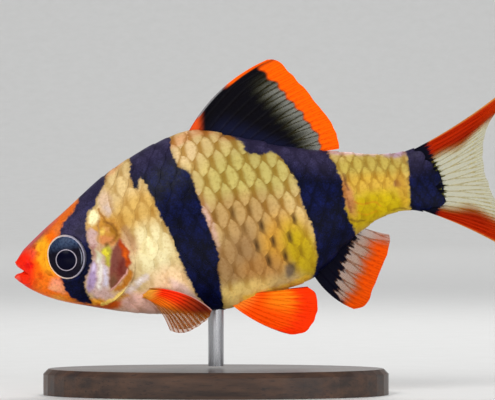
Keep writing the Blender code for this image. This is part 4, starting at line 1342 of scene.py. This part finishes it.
def wood_paint():
    """Dark walnut with its grain along the base."""
    wood = Paint("stand_walnut")
    grain = wood.noise(0.9, 6.0, 0.6, (0.08, 1.0, 1.0))
    pores = wood.noise(6.0, 2.0, 0.5, (0.1, 1.0, 1.0))
    colour = wood.mix(wood.map(grain, 0.35, 0.65), linear(46, 30, 22), linear(84, 56, 38))
    colour = wood.mix(wood.map(pores, 0.58, 0.7, 0.0, 0.7), colour, linear(26, 17, 13))
    wood.set(Base_Color=colour, Roughness=wood.ranged(grain, 0.32, 0.5), Coat_Weight=0.3, Coat_Roughness=0.15)
    wood.bump(pores, 0.3)
    return wood.material


def steel_paint():
    """Steel brushed along the rod."""
    steel = Paint("stand_brushed_steel")
    lines = steel.noise(5.0, 3.0, 0.6, (1.0, 1.0, 0.05))
    colour = steel.mix(lines, linear(150, 150, 152), linear(205, 205, 208))
    steel.set(Base_Color=colour, Metallic=1.0, Roughness=steel.ranged(lines, 0.2, 0.36))
    steel.bump(lines, 0.1)
    return steel.material


def stand_paints():
    """Paints the stand's two CAD nodes, which carry over as they are."""
    for node, material in (("stand_base", wood_paint()), ("stand_rod", steel_paint())):
        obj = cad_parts[node]
        obj.data.materials.clear()
        obj.data.materials.append(material)


# Floor, light and camera

CAMERA_DISTANCE = 400.0
PICTURE_WIDTH = 57.29
PICTURE_CENTRE = (3.646, 22.505)
FLOOR_FRONT, FLOOR_BACK, FLOOR_HALF = -2200.0, 1300.0, 2600.0
FLOOR_BEND, WALL_TOP = 600.0, 2400.0
FISH_MIDDLE = (0.0, 0.0, 20.0)
# Lights: name, place, what it points at, width, watts and colour
LIGHTS = (
    ("key", (-170, -340, 290), FISH_MIDDLE, 220, 1.12, (1, 1, 1)),
    ("fill", (270, -330, 160), FISH_MIDDLE, 280, 0.46, (0.97, 0.98, 1.0)),
    ("rim", (60, 240, 260), FISH_MIDDLE, 180, 0.35, (1, 1, 1)),
    ("overhead", (0, 900, 1300), (0, 1150, 0), 900, 10.0, (1, 1, 1)),
    ("bounce", (5, -95, 3), (5, -95, 60), 130, 0.06, (1, 1, 1)),
)
SKY_COLOUR = (0.9, 0.94, 1.0, 1.0)
SKY_STRENGTH = 0.32


def floor():
    """A pale sheet that runs back over the table and bends up into a wall."""
    turns = np.linspace(0, math.pi / 2, 24)
    bend = [(FLOOR_BACK + FLOOR_BEND * math.sin(t), FLOOR_BEND * (1 - math.cos(t))) for t in turns]
    line = [(FLOOR_FRONT, 0.0), *bend, (FLOOR_BACK + FLOOR_BEND, WALL_TOP)]
    points = np.array([(x, y, z) for x in (-FLOOR_HALF, FLOOR_HALF) for y, z in line]) * MM
    count = len(line)
    quads = [(i, count + i, count + i + 1, i + 1) for i in range(count - 1)]
    obj = mesh_object("studio_floor", points, quads, {}, (), 0)
    paint = Paint("studio_paper")
    grain = paint.noise(0.2, 4.0)
    colour = paint.mix(grain, linear(214, 213, 210), linear(224, 223, 221))
    paint.set(Base_Color=colour, Roughness=paint.ranged(grain, 0.75, 0.85))
    obj.data.materials.append(paint.material)


def light(name, place, target, size, watts, colour):
    """A round soft light, with its place and size in millimetres."""
    data = bpy.data.lights.new(name, "AREA")
    data.shape, data.size, data.energy, data.color = "DISK", size * MM, watts, colour
    obj = bpy.data.objects.new(name, data)
    obj.location = Vector(place) * MM
    obj.rotation_euler = (Vector(target) - Vector(place)).to_track_quat("-Z", "Y").to_euler()
    obj.visible_camera = False
    bpy.context.scene.collection.objects.link(obj)


def studio():
    """Sky, lights and a level camera at the photo's angle."""
    scene = bpy.context.scene
    scene.view_settings.view_transform = "Standard"
    scene.world = bpy.data.worlds.new("studio")
    scene.world.use_nodes = True
    sky = scene.world.node_tree.nodes["Background"]
    sky.inputs[0].default_value = SKY_COLOUR
    sky.inputs[1].default_value = SKY_STRENGTH
    for lamp in LIGHTS:
        light(*lamp)
    camera = bpy.data.cameras.new("camera")
    camera.sensor_width = 36.0
    camera.lens = camera.sensor_width * CAMERA_DISTANCE / PICTURE_WIDTH
    camera.clip_start, camera.clip_end = 0.02, 5.0
    obj = bpy.data.objects.new("camera", camera)
    obj.location = (PICTURE_CENTRE[0] * MM, -CAMERA_DISTANCE * MM, PICTURE_CENTRE[1] * MM)
    obj.rotation_euler = (math.pi / 2, 0.0, 0.0)
    scene.collection.objects.link(obj)
    scene.camera = obj


studio()
floor()
stand_paints()
skin_piece(hide_paint("barb_skin", False))
coat_pieces(hide_paint("barb_scale", True))
fins(fin_paint())
eyes(eye_paint())
